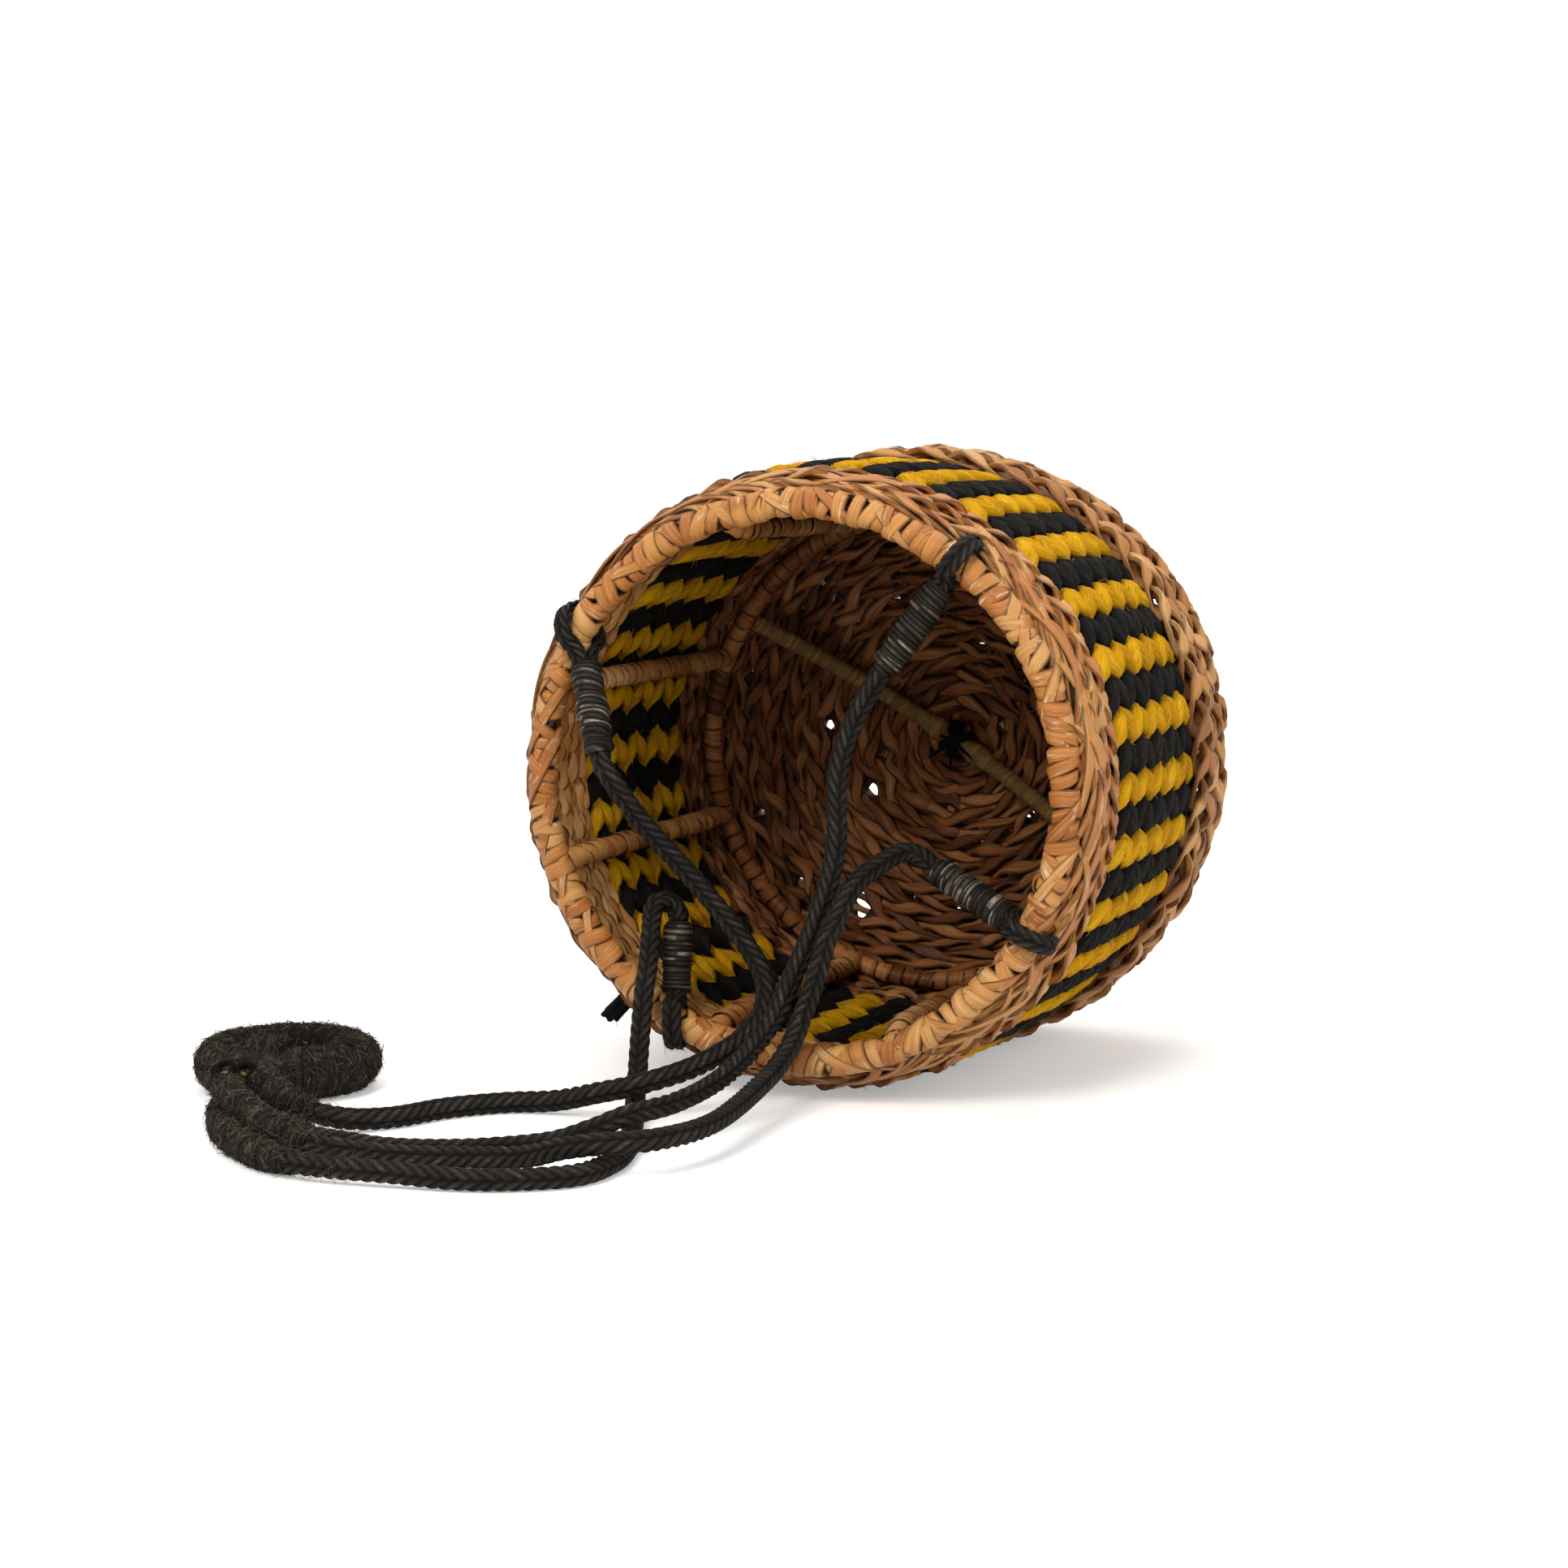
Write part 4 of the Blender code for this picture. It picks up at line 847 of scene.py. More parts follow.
def twined(radius, depth, wall_out, twists, hand, lift, sway, half_width, half_thick, count,
           sides, loose=0.0, strands=2, shift=0.0, uneven=0.15, lap=0.5, flat=1.0, taper=0.25,
           full=1.0):
    """The strands of one row, as closed rings.

    wall_out is the wall's outward direction as (away from the axis, inward) for the whole row.
    The twists are packed a little closer in two quarters of the row. A strand leans
    by lap between its crest and its crossing, so that it laps over the next one, and narrows by
    taper where it dives under.
    """
    angle = angles(count)
    packed = angle + shift - PACKING * np.cos(2.0 * angle - PACKED_AT)
    phase = hand * twists * packed + loose * drift(count, max(5, int(twists * 0.8)))
    phase = phase + np.arange(strands)[:, None] * TAU / strands
    out, turn = np.cos(phase), np.sin(phase)
    out = np.sign(out) * np.abs(out) ** full
    away, deep = wall_out
    reach = lift * out * (1.0 + 0.5 * loose * drift(count, twists, strands))
    slide = sway * np.arcsin(0.95 * turn) / math.asin(0.95)
    slide = slide + 0.4 * loose * sway * drift(count, twists, strands)
    path = basket_point(radius + away * reach - deep * slide, angle,
                        depth + deep * reach + away * slide)
    wall = outward(angle) * away + INWARD * deep
    cross = INWARD * away - outward(angle) * deep
    normal = unit(wall + cross * (lap * turn * out)[..., None])
    swell = 1.0 + uneven * drift(count, max(5, int(twists * 1.3)), strands)
    narrow = 1.0 - taper * np.abs(turn) ** 3
    return swept(path, normal, half_width * swell * narrow, half_thick * swell, sides, True, flat)

# %% [markdown]
# The band is thick yarn, twined in courses: in each a mustard and a black strand are twisted about
# each other, so that a float of one shows beside a float of the other. It is made as two faces, ten
# courses outside and nine inside, because the inside is packed differently, with flat filling
# between them.

# %% Yarn band
BASKET_RADIUS = 0.1107
BAND_START = 0.0241
BAND_END = 0.1162
BAND_FACES = (
    dict(name="outer", radius=0.1050, begin=BAND_START, courses=10, pairs=29, shift=-28.3,
         lift=0.0027, sway=0.0052, half_width=0.0045, half_thick=0.0026, taper=0.55, full=0.5),
    dict(name="inner", radius=0.0973, begin=0.0330, courses=9, pairs=26, shift=40.9,
         lift=0.0022, sway=0.0030, half_width=0.0034, half_thick=0.0021, taper=0.75, full=0.8))


def float_layer(name, radius, begin, courses, pairs, shift, **strand):
    """The courses of one face of the band: a mustard and a black strand twisted together."""
    courses_made = []
    pitch = (BAND_END - begin) / courses
    for row in range(courses):
        bulge = -0.0012 * (2 * (row + 0.5) / courses - 1) ** 2
        courses_made.append(twined(radius + bulge, begin + (row + 0.5) * pitch, (1.0, 0.0), pairs,
                                   1 if row % 2 else -1, count=pairs * 12, sides=8, loose=0.14,
                                   shift=math.radians(shift), lap=0.25, **strand))
    for colour, grid, paint, loose_paint in zip(
            ("mustard", "black"), np.stack(courses_made, 1), (MUSTARD, BLACK),
            (MUSTARD_FUZZ, BLACK_FUZZ)):
        mesh_piece(f"{colour}_yarn_{name}_floats", grid, paint, "basket", "yarn_band", ring=True,
                   tone=patches(grid.shape[1], pairs, courses) * 0.6 + 0.2)
        hair_piece(f"{colour}_yarn_{name}_fibres",
                   fibres(grid, 2500, 0.0040, 0.00015, 0.3, 1.6), loose_paint)


# %% Both faces and the filling
for face in BAND_FACES:
    float_layer(**face)

FILLING_ROWS = 10
angle = angles(180)
depths = BAND_START + (np.arange(FILLING_ROWS) + 0.5) * (BAND_END - BAND_START) / FILLING_ROWS
rows = basket_point(0.1010, angle, depths[:, None])
mesh_piece("black_yarn_filling", swept(rows, outward(angle), 0.0047, 0.0018, 8, True), BLACK,
           "basket", ring=True, tone=0.3)

# %% [markdown]
# The border is twined from three flat leaves a row, loosely, over a padding of leaf coloured very
# dark as painted shade in its gaps. Broad leaves are looped over it from the rim.

# %% Border rows
BORDER_ROWS = ((0.1006, 0.0058, 0.0020), (0.1018, 0.0100, 0.0024), (0.1024, 0.0146, 0.0026),
               (0.1044, 0.0192, 0.0026), (0.1030, 0.0232, 0.0024))
INSIDE_ROWS = ((0.0974, 0.0090, 0.0013), (0.0972, 0.0138, 0.0014), (0.0974, 0.0186, 0.0014),
               (0.0972, 0.0236, 0.0014), (0.0974, 0.0284, 0.0014), (0.0974, 0.0330, 0.0013))
rows = [twined(radius, depth, (0.97, 0.24), 17 + k % 4, 1 if k % 2 else -1, lift, sway=0.0014,
               half_width=0.0036, half_thick=0.0009, count=400, sides=6, loose=0.9, strands=3,
               shift=RANDOM.uniform(0, 0.2), uneven=0.4, lap=0.8, flat=0.7, taper=0.4)
        for k, (radius, depth, lift) in enumerate(BORDER_ROWS + INSIDE_ROWS)]
for name, chosen, paint in (("border_seagrass", rows[:len(BORDER_ROWS)], RIBBON),
                            ("border_inner_seagrass", rows[len(BORDER_ROWS):], WEFT)):
    grid = np.concatenate(chosen)
    mesh_piece(name, grid, paint, "basket", "border_weave", ring=True,
               tone=patches(grid.shape[1], 23, len(grid)))

# %% Leaves looped over the border
LOOPS = 90
t = np.linspace(0.0, 1.0, 24)[None, :]
first = RANDOM.uniform(0.0, TAU, (LOOPS, 1))
reach = RANDOM.uniform(0.22, 0.60, (LOOPS, 1)) * RANDOM.choice([-1.0, 1.0], (LOOPS, 1))
angle = first + reach * t + 0.02 * np.sin(TAU * t + first)
deepest = RANDOM.uniform(0.010, 0.025, (LOOPS, 1))
depth = 0.0010 + (deepest - 0.0010) * t ** 1.1
top = RANDOM.uniform(0.1020, 0.1036, (LOOPS, 1)) + 0.22 * depth
radius = 0.0968 + (top - 0.0968) * np.sin(np.pi * np.clip(t * 1.01, 0, 1)) ** 0.5
half = RANDOM.uniform(0.0017, 0.0033, (LOOPS, 1)) * np.sin(np.pi * (0.08 + 0.84 * t)) ** 0.4
grid = swept(basket_point(radius, angle, depth), outward(angle) - 0.3 * INWARD, half, 0.0006, 8,
             False, 0.6)
mesh_piece("border_looped_leaves", grid, RIBBON, "basket", tone=joined_tone(LOOPS))

# %% Padding under the border
PADS = ((0.1000, 0.0085), (0.0998, 0.0150), (0.1000, 0.0215))
angle = angles(240)
pads = [basket_point(radius + 0.0004 * drift(240, 60), angle, depth) for radius, depth in PADS]
grid = swept(np.stack(pads), outward(angle), 0.0040, 0.0022, 10, True)
mesh_piece("border_padding", grid, SPOKE, "basket", ring=True, tone=patches(240, 40, len(PADS)))

# %% [markdown]
# The base is woven more closely inside than outside. Its outer and inner outlines are those of
# the model. Flat stakes, coloured very dark as painted shade in the gaps, run down the middle of
# the wall to the centre, and the rows of leaf are twined on both sides of them: slender ones
# inside, broad ones outside. Light comes through slits, placed after the photograph, each given by
# its angle in degrees, and its distance from the axis and size in mm. Leaves and stakes bow apart
# there.

# %% Base outlines and stakes
INNER_RADIUS = 0.0936
BASE_HEIGHT = 0.043
OUTER_SHARES = ((1.0, -0.55), (1.0, -0.03), (0.985, 0.272), (0.94, 0.551), (0.84, 0.765),
                (0.65, 0.906), (0.36, 0.983), (0.0, 1.0))
INNER_SHARES = ((1.0124, -0.55), (1.001, 0.016), (0.988, 0.23), (0.94, 0.423), (0.8515, 0.572),
                (0.71, 0.679), (0.497, 0.752), (0.0, 0.79))
SLITS = np.array(((-40.8, 73, 2.9), (-86, 53, 3.4), (-101.5, 31.5, 3.2), (-121, 40.6, 3.8),
                  (-112, 84, 4), (-132, 83, 3.8), (-140, 82, 4), (-150, 76, 5.5),
                  (71.5, 18.7, 3), (-21.5, 66, 2.2), (24.3, 32, 2.2), (12, 38.4, 2.2),
                  (-173, 25.6, 2.8), (-74.5, 85.5, 2.2), (100, 60, 2.2), (160, 70, 2.4)))
SPOKES = 84
OUTLINE_POINTS = 200


def wall_line(shares, radius):
    """Points (radius, depth) spread evenly along an outline of shares."""
    line = np.array(shares) * (radius, BASE_HEIGHT) + (0.0, LOWER_DEPTH)
    line = smooth_route(np.pad(line, ((0, 0), (0, 1))))
    return even(line, travelled(line)[-1] / (OUTLINE_POINTS - 1))[:, :2]


def slits(sunk):
    """Angle, radius and size of each slit. It runs askew, so it shifts with the depth sunk."""
    angle, radius, size = np.radians(SLITS[:, 0]), SLITS[:, 1] / 1000, SLITS[:, 2] / 1000
    aside = radius * np.sin(angle) - 0.33 * sunk
    above = radius * np.cos(angle) - 0.10 * sunk
    return np.stack([np.arctan2(aside, above), np.hypot(aside, above), size], 1)


def bearings(points):
    """Angle and distance of points from the basket's axis."""
    aside, above = (points - RIM_CENTRE) @ RIGHT, (points - RIM_CENTRE) @ UP
    return np.arctan2(aside, above), np.hypot(aside, above)


def apart(angle, other):
    """Difference of two angles, from -pi to pi."""
    return (angle - other + np.pi) % TAU - np.pi


# %% Stakes of the base, dark as painted shade
outer, inner = wall_line(OUTER_SHARES, BASKET_RADIUS), wall_line(INNER_SHARES, INNER_RADIUS)
middle = (outer + inner) / 2
angle = (np.arange(SPOKES) + 0.5)[:, None] * TAU / SPOKES
at = np.linspace(0, 194, 60).astype(int)
path = basket_point(middle[at, 0], angle + 0.012 * drift(60, 9, SPOKES, False), middle[at, 1])
away = unit(outer - inner)[at]
normal = outward(angle) * away[:, :1] + INWARD * away[:, 1:]
half = np.maximum(middle[at, 0] * np.pi / SPOKES, 0.0009) * (
    0.88 + 0.44 * drift(60, 14, SPOKES, False))
around, far = bearings(path)
sideways = np.zeros(far.shape)
for at_angle, at_radius, size in slits(0.0026):
    gap = apart(angle, at_angle)
    pushed = 0.8 * size * np.exp(-np.abs(gap) * at_radius / 0.006)
    sideways += np.sign(gap) * pushed * np.exp(-((far - at_radius) / size) ** 2)
path = path + sideways[..., None] * np.cross(INWARD, outward(around))
mesh_piece("base_stake_leaves", swept(path, normal, half, 0.0005, 6, False, 0.7), SPOKE, "basket",
           "base_weave", tone=joined_tone(SPOKES))

# %% Base rows
BASE_STATIONS = 320
TWIST_LENGTH = 0.031
PIECE_ROWS = 8
FIRST_SEAT = 0.4


def base_rows(name, outline, toward, pitch, paint, sunk, **strand):
    """Rows of twined leaf along an outline, set out from it, in a few meshes.

    Near a slit the rows bow apart, by about the slit's size and less with each row.
    """
    run = travelled(outline)
    rows = int(run[-1] / pitch)
    grids, tones = [], []
    for row in range(rows):
        seat = (row + FIRST_SEAT) * pitch
        i = int(np.searchsorted(run, seat))
        way = unit(outer[i] - inner[i])
        place = outline[i] + way * toward
        twists = max(3, int(round(TAU * place[0] / TWIST_LENGTH)))
        pair = twined(*place, way, twists, 1 if row % 2 else -1, count=BASE_STATIONS, sides=6,
                      loose=1.0, shift=RANDOM.uniform(0, 1), uneven=0.3, lap=0.9, flat=0.75,
                      **strand)
        around, _ = bearings(pair.mean(2))
        bow = np.zeros(around.shape)
        for at_angle, at_radius, size in slits(sunk):
            beside = apart(around, at_angle) * at_radius
            past = seat - run[40 + np.argmin(abs(outline[40:, 0] - at_radius))]
            bow += np.sign(past) * 1.1 * size * np.exp(-abs(past) / 0.009
                                                       - (beside / (1.2 * size)) ** 2)
        pair = pair + (bow[..., None] * (INWARD * way[0] - outward(around) * way[1]))[:, :, None]
        grids.append(pair)
        tones.append(patches(BASE_STATIONS, max(3, int(twists * 1.2)), 2))
    for k in range(0, rows, PIECE_ROWS):
        mesh_piece(f"{name}_{k // PIECE_ROWS + 1}", np.concatenate(grids[k:k + PIECE_ROWS]),
                   paint, "basket", "base_weave", ring=True,
                   tone=np.concatenate(tones[k:k + PIECE_ROWS]))


base_rows("base_inner_rows", inner, 0.0030, pitch=0.0049, paint=DARK_AND_SHADED_WEFT, sunk=0.0, lift=0.0022,
          sway=0.0015, half_width=0.0026, half_thick=0.0010)
base_rows("base_outer_rows", outer, -0.0008, pitch=0.0067, paint=WEFT, sunk=0.0052, lift=0.0028,
          sway=0.0021, half_width=0.0036, half_thick=0.0011)

# %% [markdown]
# A wire rod wound with khaki thread crosses the base. It sags to the base's middle, where black
# yarn ties it down: three crossed arches and seven loose ends.

# %% Rod and its tie
ROD_TUBE = 0.0030
ROD_ANGLE = math.radians(122.0)
INSIDE_SHARE = INNER_SHARES[-1][1]
seat, bottom = LOWER_DEPTH + ROD_TUBE, LOWER_DEPTH + BASE_HEIGHT * INSIDE_SHARE - ROD_TUBE - SEAM
share = np.array((1.0, 0.72, 0.4, 0.0, -0.4, -0.72, -1.0))
sag = np.array((0.0, 0.42, 0.82, 1.0, 0.82, 0.42, 0.0))
half_span = LOWER_RADIUS - LOWER_TUBE + SEAM
rod_line = smooth_route(basket_point(half_span * share, ROD_ANGLE, seat + (bottom - seat) * sag))
run = travelled(rod_line)[-1]
steps = int(round(run / 0.00035))
share = np.linspace(-1.0, 1.0, steps + 1)
lumps = 0.0013 * (np.exp(-((share - 0.10) / 0.05) ** 2) + np.exp(-((share + 0.11) / 0.06) ** 2))
grid, tone = wound(rod_line, INWARD, ROD_TUBE + 0.0002 + lumps, pitch=0.0013, rise=0.00035,
                   step=run / steps, sides=20, uneven=0.15)
mesh_piece("thread_wound_rod", grid, KHAKI, "basket", "rod_winding", tone=tone)

# %% Yarn tie on the rod
TIE_YARN = 0.0016
centre = rod_line[len(rod_line) // 2]
across, over = outward(np.array(ROD_ANGLE + math.pi / 2)), -INWARD
rod_way = outward(np.array(ROD_ANGLE))
t = np.linspace(-0.35, math.pi + 0.35, 22)[:, None]
s = np.linspace(0.0, 1.0, 22)[:, None]
ties = []
for lean in (0.8, -0.8, 0.25):
    way = unit(across + lean * rod_way)
    loop = centre + way * (0.0062 * np.cos(t)) + over * (0.0052 * np.sin(t) - 0.0005)
    ties.append(swept(loop, over, TIE_YARN, TIE_YARN, 10))
for spin in angles(7) + 0.5:
    way = unit(across * math.cos(spin) + rod_way * math.sin(spin) + over * 0.35)
    tail = centre + over * 0.0032 + way * (s * RANDOM.uniform(0.007, 0.013)) - over * (0.004 * s ** 2)
    tail = tail + unit(RANDOM.normal(size=3)) * 0.0015 * s ** 2
    thin = 0.0010 * (1 - 0.6 * s[:, 0])
    ties.append(swept(tail, over, thin, thin, 10))
grid = np.stack(ties)
mesh_piece("black_yarn_tie", grid, BLACK, "basket", "base_tie", tone=joined_tone(len(grid)))
hair_piece("yarn_tie_fibres", fibres(grid, 320, 0.007, 0.00006), BLACK_FUZZ)

# %% [markdown]
# A brush of cut black yarn ends sticks out of the border at the lower left. Each end is one short
# strand that starts close to the others and leans its own way.

# %% Tuft
TUFT_ANGLE = math.radians(221.5)
TUFT_DEPTH = 0.0165
TUFT_ENDS = 26
TUFT_YARN = 0.00085
low, high = 0.1055, BASKET_RADIUS * 0.978 + SEAM + 0.0105
way = outward(np.array(TUFT_ANGLE))
beside = RIGHT * math.cos(TUFT_ANGLE) - UP * math.sin(TUFT_ANGLE)
s = np.linspace(0.0, 1.0, 8)[:, None]
ends = []
for _ in range(TUFT_ENDS):
    spread = RANDOM.uniform(-1, 1, 2) * 0.0026
    foot = basket_point(low, TUFT_ANGLE, TUFT_DEPTH) + beside * spread[0] + INWARD * spread[1]
    end = foot + way * (high - low) * RANDOM.uniform(0.75, 1.0) + unit(RANDOM.normal(size=3)) * 0.0011
    ends.append(swept(foot + (end - foot) * s, UP, TUFT_YARN, TUFT_YARN, 7))
grid = np.stack(ends)
mesh_piece("black_yarn_tuft", grid, BLACK, "basket", "yarn_tuft", tone=joined_tone(TUFT_ENDS))
hair_piece("yarn_tuft_fibres", fibres(grid, 300, 0.0045, 0.00006), BLACK_FUZZ)

# %% [markdown]
# The hanging ring is wound with wool yarn over a grass core. It is a closed tube, so the winding is
# worked out round the whole ring: radius = tube - groove * (2 - abs(sin(pi turn)) ** 0.6), where
# turn counts the windings and wanders, and slow lumps are added. Its grooves are painted dark as
# shade, and it is painted darker away from its outer side, most round the hole, as shade; most of
# the fibres that stand off it lie on the outer side.

# %% Hanging ring
RING_TURNS = 84
RING_SIDES = 30
RING_GROOVE = 0.0004
count = RING_TURNS * 12
spin, theta = angles(count), angles(RING_SIDES)
ring_out = np.stack([np.cos(spin), np.sin(spin), 0 * spin], 1)
turn = (RING_TURNS * spin / TAU + 1.6 * drift(count, 70))[:, None] - theta / TAU
turn = turn + 0.6 * np.sin(theta + 9 * spin[:, None])
thread = np.abs(np.sin(np.pi * turn)) ** 0.6
lumps = 0.0003 * drift(count, 14)[:, None] + 0.0002 * np.sin(2 * theta + 4 * spin[:, None])
height = RING_TUBE - RING_GROOVE + lumps - RING_GROOVE * (1 - thread)
skin = rings(ring_out, np.broadcast_to(UP, ring_out.shape), theta) * height[..., None]
grid = (RING_CENTRE + RING_RADIUS * ring_out)[:, None] + skin
shades = RANDOM.uniform(0.0, 1.0, 131)
# Painted shade in the grooves between windings and painted highlight on the windings, with a random
# tone for each winding.
tone = 0.6 * thread + 0.4 * shades[np.floor(turn).astype(int) % 131]
# Painted shade: the tone is lowered away from the outer side, most on the inner side round the hole.
tone = tone * np.clip(0.75 + 0.5 * np.cos(theta), 0.3, 1.0)
mesh_piece("wool_wound_ring", grid[:, ::-1], RING_YARN, "hanging_ring", "ring_wrap", ring=True,
           tone=tone[:, ::-1])
fuzz = np.concatenate([fibres(grid, 5000, 0.0042, 0.00012, 0.25, 0.6, True),
                       fibres(grid, 2600, 0.0046, 0.00026, 0.12, 0.9, True)])
reach = np.linalg.norm((fuzz[:, 0].mean(1) - RING_CENTRE)[:, :2], axis=1)
fuzz = fuzz[(reach > RING_RADIUS - 0.003) | (RANDOM.uniform(size=len(fuzz)) < 0.3)]
mesh_piece("wool_ring_fibres", fuzz, RING_FUZZ, "hanging_ring", tone=joined_tone(len(fuzz)) ** 1.7)

# %% [markdown]
# The lashing is the dark knot in which the four bound ends meet the ring. It is a soft block of
# wound yarn, worked out as a bulging rounded box, with five turns of yarn over the ring. Two cut
# ends of the ring's grass core show between small black knots, kept at their darkest tone as the
# painted shade of the recess round the ends.

# %% Lashing
BLOCK_POLAR, BLOCK_SIDES, BLOCK_POWER, BLOCK_KNIT = 34, 44, 0.55, 0.035
ARCH_TURNS = 5
ARCH_YARN = 0.0015
held, out, aside = lashing_frame()


def soft(value):
    """A sine or cosine squared up, as in a super-ellipsoid."""
    return np.sign(value) * np.abs(value) ** BLOCK_POWER


def lashing_block(centre, ways, size):
    """A closed rounded block: super-ellipsoid with wound threads across it."""
    polar = np.linspace(0.02, np.pi - 0.02, BLOCK_POLAR)[:, None]
    round_ = angles(BLOCK_SIDES)
    swell = 1.0 + BLOCK_KNIT * (np.abs(np.sin(20.0 * polar + 2.0 * round_))
                                + 0.4 * np.sin(3 * round_ + 5 * polar))
    parts = (soft(np.cos(polar)), soft(np.sin(polar)) * soft(np.cos(round_)),
             soft(np.sin(polar)) * soft(np.sin(round_)))
    return centre + sum((part * half * swell)[..., None] * way
                        for part, half, way in zip(parts, size, ways))


grid = lashing_block(held + out * (RING_TUBE + 0.0014 + 0.0077), (aside, out, UP),
                     (0.0112, 0.0075, 0.0099))
mesh_piece("sewn_yarn_lashing", grid, RING_YARN, "basket", "ring_lashing",
           tone=patches(BLOCK_POLAR, 17))
hair_piece("lashing_fibres", fibres(grid, 1700, 0.0042, 0.00011, 0.3), RING_FUZZ)
turns = np.linspace(-0.05, math.pi * 0.58, 30)[:, None]
way = out * np.cos(turns) + UP * np.sin(turns)
grid = np.stack([swept(held + aside * (-0.0042 + 0.0021 * k)
                       + way * (RING_TUBE + LASHING_GAP + ARCH_YARN), way, 0.0013, 0.0010, 10)
                 for k in range(ARCH_TURNS)])
mesh_piece("lashing_yarn_arch", grid, RING_YARN, "basket", "ring_arch",
           tone=joined_tone(ARCH_TURNS))
hair_piece("arch_fibres", fibres(grid, 700, 0.0042, 0.00016, 0.3), RING_FUZZ)

# %% Sewing knots and core ends
CORE_ENDS = np.array(((-0.2141, -0.1094, 0.0189), (-0.2095, -0.1002, 0.0165)))
KNOTS = 9
KNOT_YARN = 0.0011
way = unit(np.array((-0.12, -0.72, 0.68)))
s, t = np.linspace(-1.0, 1.0, 6)[:, None], np.linspace(-1.0, 1.0, KNOTS)[:, None]
knots, stubs = [], []
for place in CORE_ENDS:
    lean = RIGHT + 0.6 * UP * (1 - 2 * len(stubs))
    stubs.append(swept(place + way * (0.0012 * s - 0.0003), lean, 0.0007, 0.0014, 10, flat=0.6))
    for a in angles(KNOTS):
        a, wide = a + RANDOM.uniform(-0.4, 0.4), RANDOM.uniform(0.0022, 0.0040)
        foot = place + wide * (RIGHT * math.cos(a) + np.cross(way, RIGHT) * math.sin(a))
        turn = np.cross(way, unit(foot - place))
        knot = foot + turn * RANDOM.uniform(0.002, 0.004) * t + way * (0.0016 - 0.0016 * t ** 2)
        knots.append(swept(knot, way, KNOT_YARN, KNOT_YARN, 8))
# Painted shade: the knots keep the darkest tone, standing for the shade of the recess round the core
# ends.
mesh_piece("black_knots_recess_shade", np.stack(knots), BLACK, "basket",
           tone=0.1 * joined_tone(len(knots)))
mesh_piece("grass_core_ends", np.stack(stubs), KHAKI, "basket", tone=0.5)

# %% [markdown]
# What is left of the model shows only in places: the wire under the ribbon, the rod's core and the
# grass core of the ring. The wire is dull grey brown with blotches of 2.5 mm, the grass is pale
# with a grain of 1 mm.

# %% Finishes of the carried over parts
def grained_material(name, roughness, metallic, cycles, detail, stops, strength, depth):
    """A plain material with a fine grain, in the object's own metres."""
    made, tree, shader = new_material(name, roughness, metallic=metallic)
    place = add(tree, "ShaderNodeTexCoord").outputs["Object"]
    grain = add(tree, "ShaderNodeTexNoise", {"Vector": place, "Scale": cycles, "Detail": detail})
    dress(tree, shader, ramp(tree, grain.outputs["Fac"], stops), grain.outputs["Fac"], strength,
          depth)
    return made


wire = grained_material("oxidised_steel_wire", 0.45, 0.9, 400.0, 4.0,
                        {0.3: "4A4038", 0.7: "7C7064"}, 0.3, 0.0002)
grass = grained_material("split_grass_core", 0.7, 0.0, 900.0, 3.0,
                         {0.3: "8A6A38", 0.7: "C9A468"}, 0.4, 0.0003)
for node, paint in (("wire_frame", wire), ("rod_core", wire), ("ring_core", grass)):
    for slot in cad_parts[node].material_slots:
        slot.material = paint
print("finishes", wire.name, grass.name)

# %% [markdown]
# A plain white floor under soft light. For the camera and for reflections the floor also glows a
# little, so that it reads as white paper, while the light that it sends to the basket stays plain.
# The glow grows between 0.35 and 1.2 m from the middle, so that the floor ends in white.

# %% Floor
FLOOR_HALF = 6.0
FLOOR_SINK = 0.0001


def seen_directly(tree):
    """One for the rays by which the camera sees a thing, straight, mirrored or through glass."""
    kind = add(tree, "ShaderNodeLightPath").outputs
    seen = maths(tree, "ADD", kind["Is Camera Ray"], kind["Is Glossy Ray"])
    return maths(tree, "ADD", seen, kind["Is Transmission Ray"], use_clamp=True)


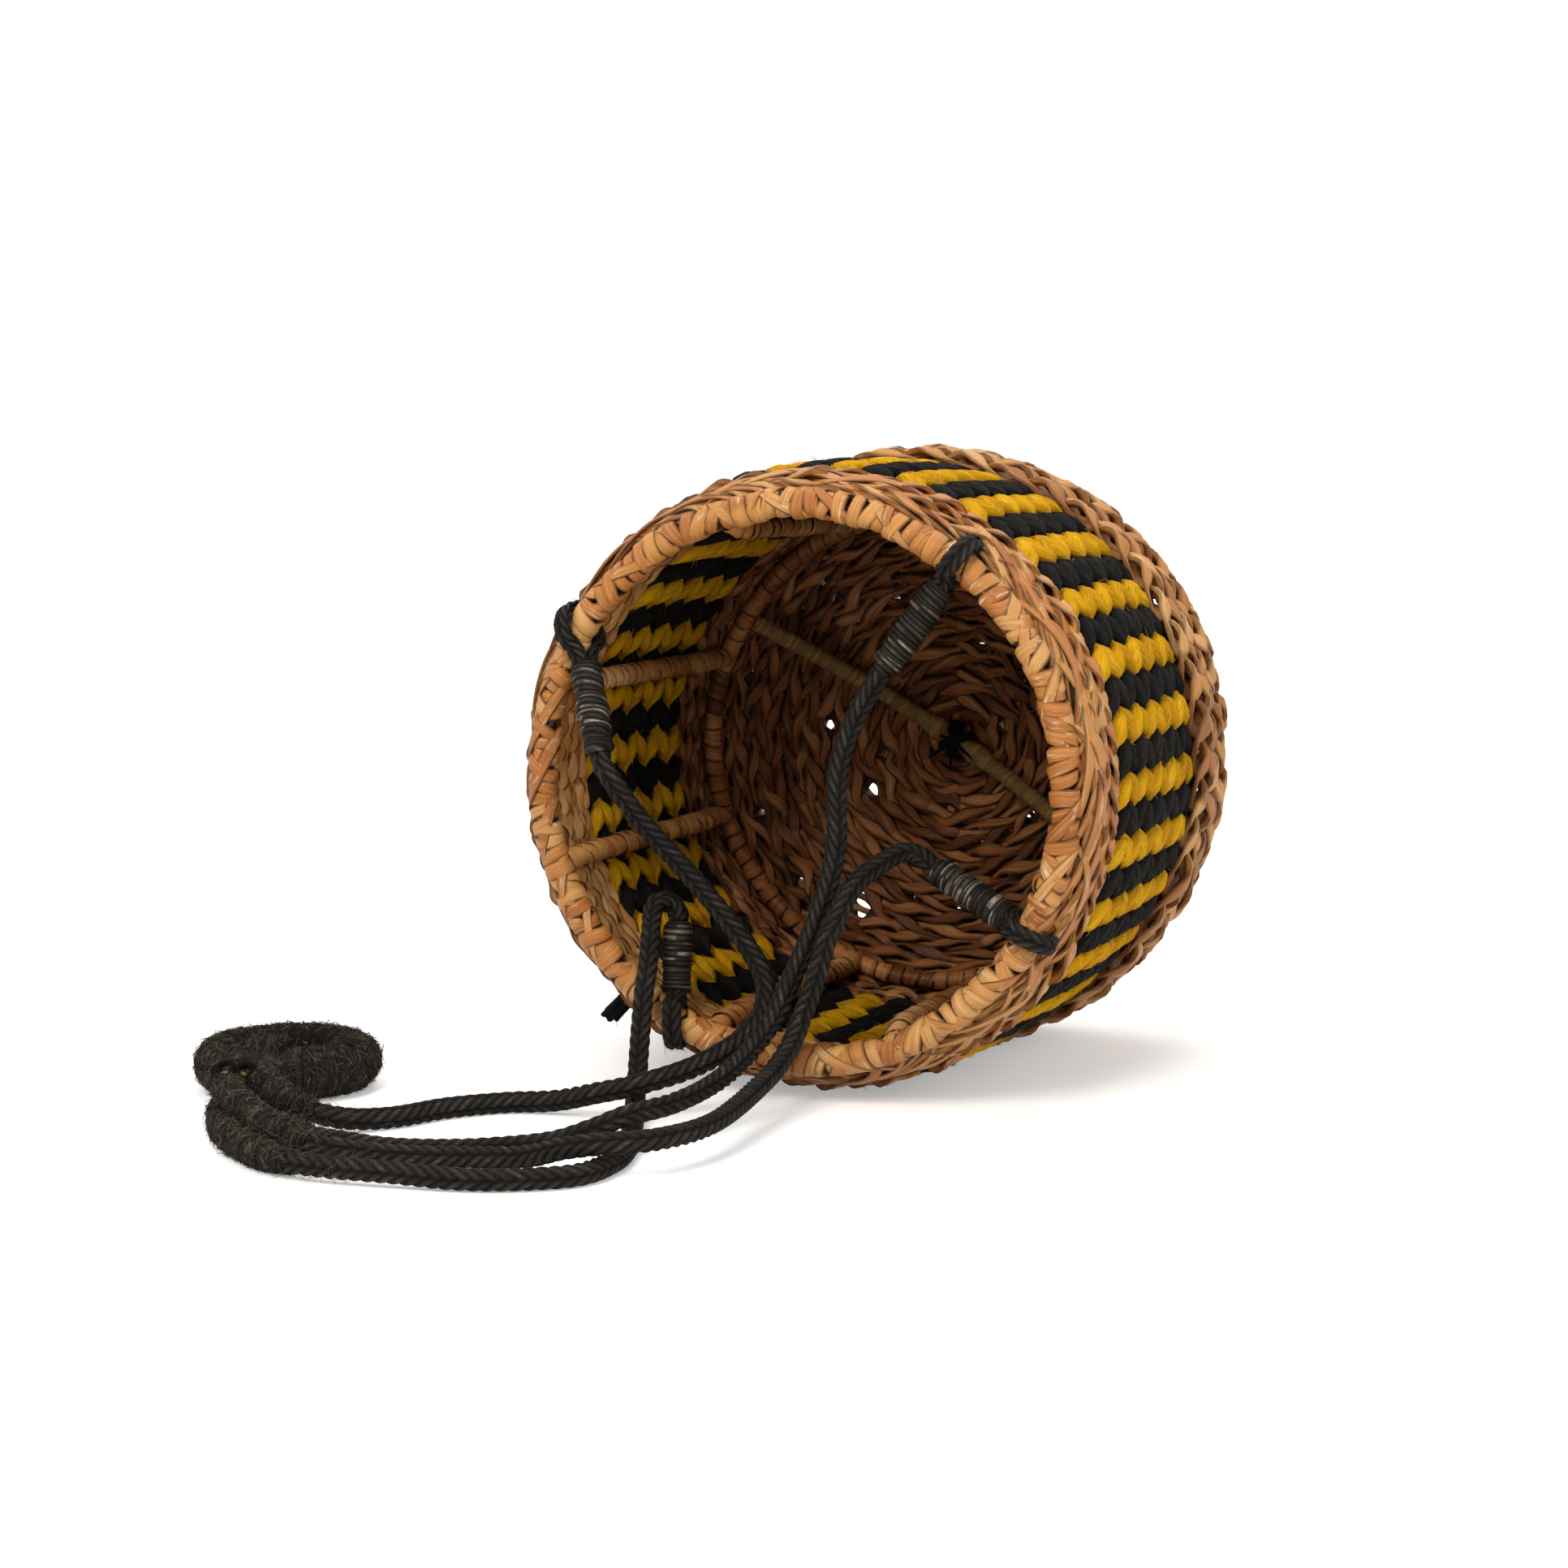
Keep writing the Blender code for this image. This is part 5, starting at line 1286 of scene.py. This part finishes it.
paper, tree, shader = new_material("matt_white_paper", 0.9, specular=0.1)
shader.inputs["Base Color"].default_value = linear("EDEBE8")
place = add(tree, "ShaderNodeTexCoord").outputs["Object"]
far = add(tree, "ShaderNodeVectorMath", {0: place}, operation="LENGTH").outputs["Value"]
level = mapped(tree, far, 0.35, 1.2, 0.34, 0.90, interpolation_type="SMOOTHSTEP")
glow = add(tree, "ShaderNodeEmission", {
    "Color": (1.0, 1.0, 1.0, 1.0), "Strength": maths(tree, "MULTIPLY", seen_directly(tree), level)})
both = add(tree, "ShaderNodeAddShader", {0: shader.outputs[0], 1: glow.outputs[0]})
tree.links.new(both.outputs[0], tree.nodes["Material Output"].inputs["Surface"])

floor_mesh = bpy.data.meshes.new("paper_floor")
floor_mesh.from_pydata([(x * FLOOR_HALF, y * FLOOR_HALF, 0.0)
                        for x, y in ((-1, -1), (1, -1), (1, 1), (-1, 1))], [], [(0, 1, 2, 3)])
floor_mesh.materials.append(paper)
floor = bpy.data.objects.new("paper_floor", floor_mesh)
floor.location.z = -FLOOR_SINK
SCENE.collection.objects.link(floor)
floor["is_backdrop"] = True
print("floor", 2 * FLOOR_HALF, "m wide")

# %% [markdown]
# Three square soft lamps stand in for a studio: a key at the front left, a weak fill at the front
# right, and one above. The world is white where it is seen and half as strong where it lights.

# %% Light
world = bpy.data.worlds.new("studio")
SCENE.world = world
world.use_nodes = True
tree = world.node_tree
sky = tree.nodes["Background"]
sky.inputs["Color"].default_value = (1.0, 1.0, 1.0, 1.0)
tree.links.new(maths(tree, "MULTIPLY_ADD", seen_directly(tree), 0.5, 0.5), sky.inputs["Strength"])


def lamp(name, place, size, power):
    """A square area lamp at a place, turned to the basket."""
    data = bpy.data.lights.new(name, "AREA")
    data.size, data.energy = size, power
    made = bpy.data.objects.new(name, data)
    made.location = place
    way = unit(np.array((0.0, 0.0, 0.08)) - np.array(place))
    made.rotation_euler = (math.acos(-way[2]), 0.0, math.atan2(way[1], way[0]) - math.pi / 2)
    SCENE.collection.objects.link(made)


lamp("key_softbox", (-0.7, -1.5, 1.4), 0.9, 30.0)
lamp("fill_softbox", (1.1, -1.3, 0.9), 0.9, 8.0)
lamp("top_softbox", (0.1, 0.4, 1.7), 1.2, 16.0)
print("lamps", [light.name for light in bpy.data.lights])

# %% [markdown]
# Last, the box of the model and the box of the dressed basket are printed side by side, to
# show how far the leaves, yarn and fibres stand proud of the model.

# %% Sizes and finish
size = {"cad": CAD_BOX, "visual": [list(corner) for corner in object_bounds()]}
print(size)
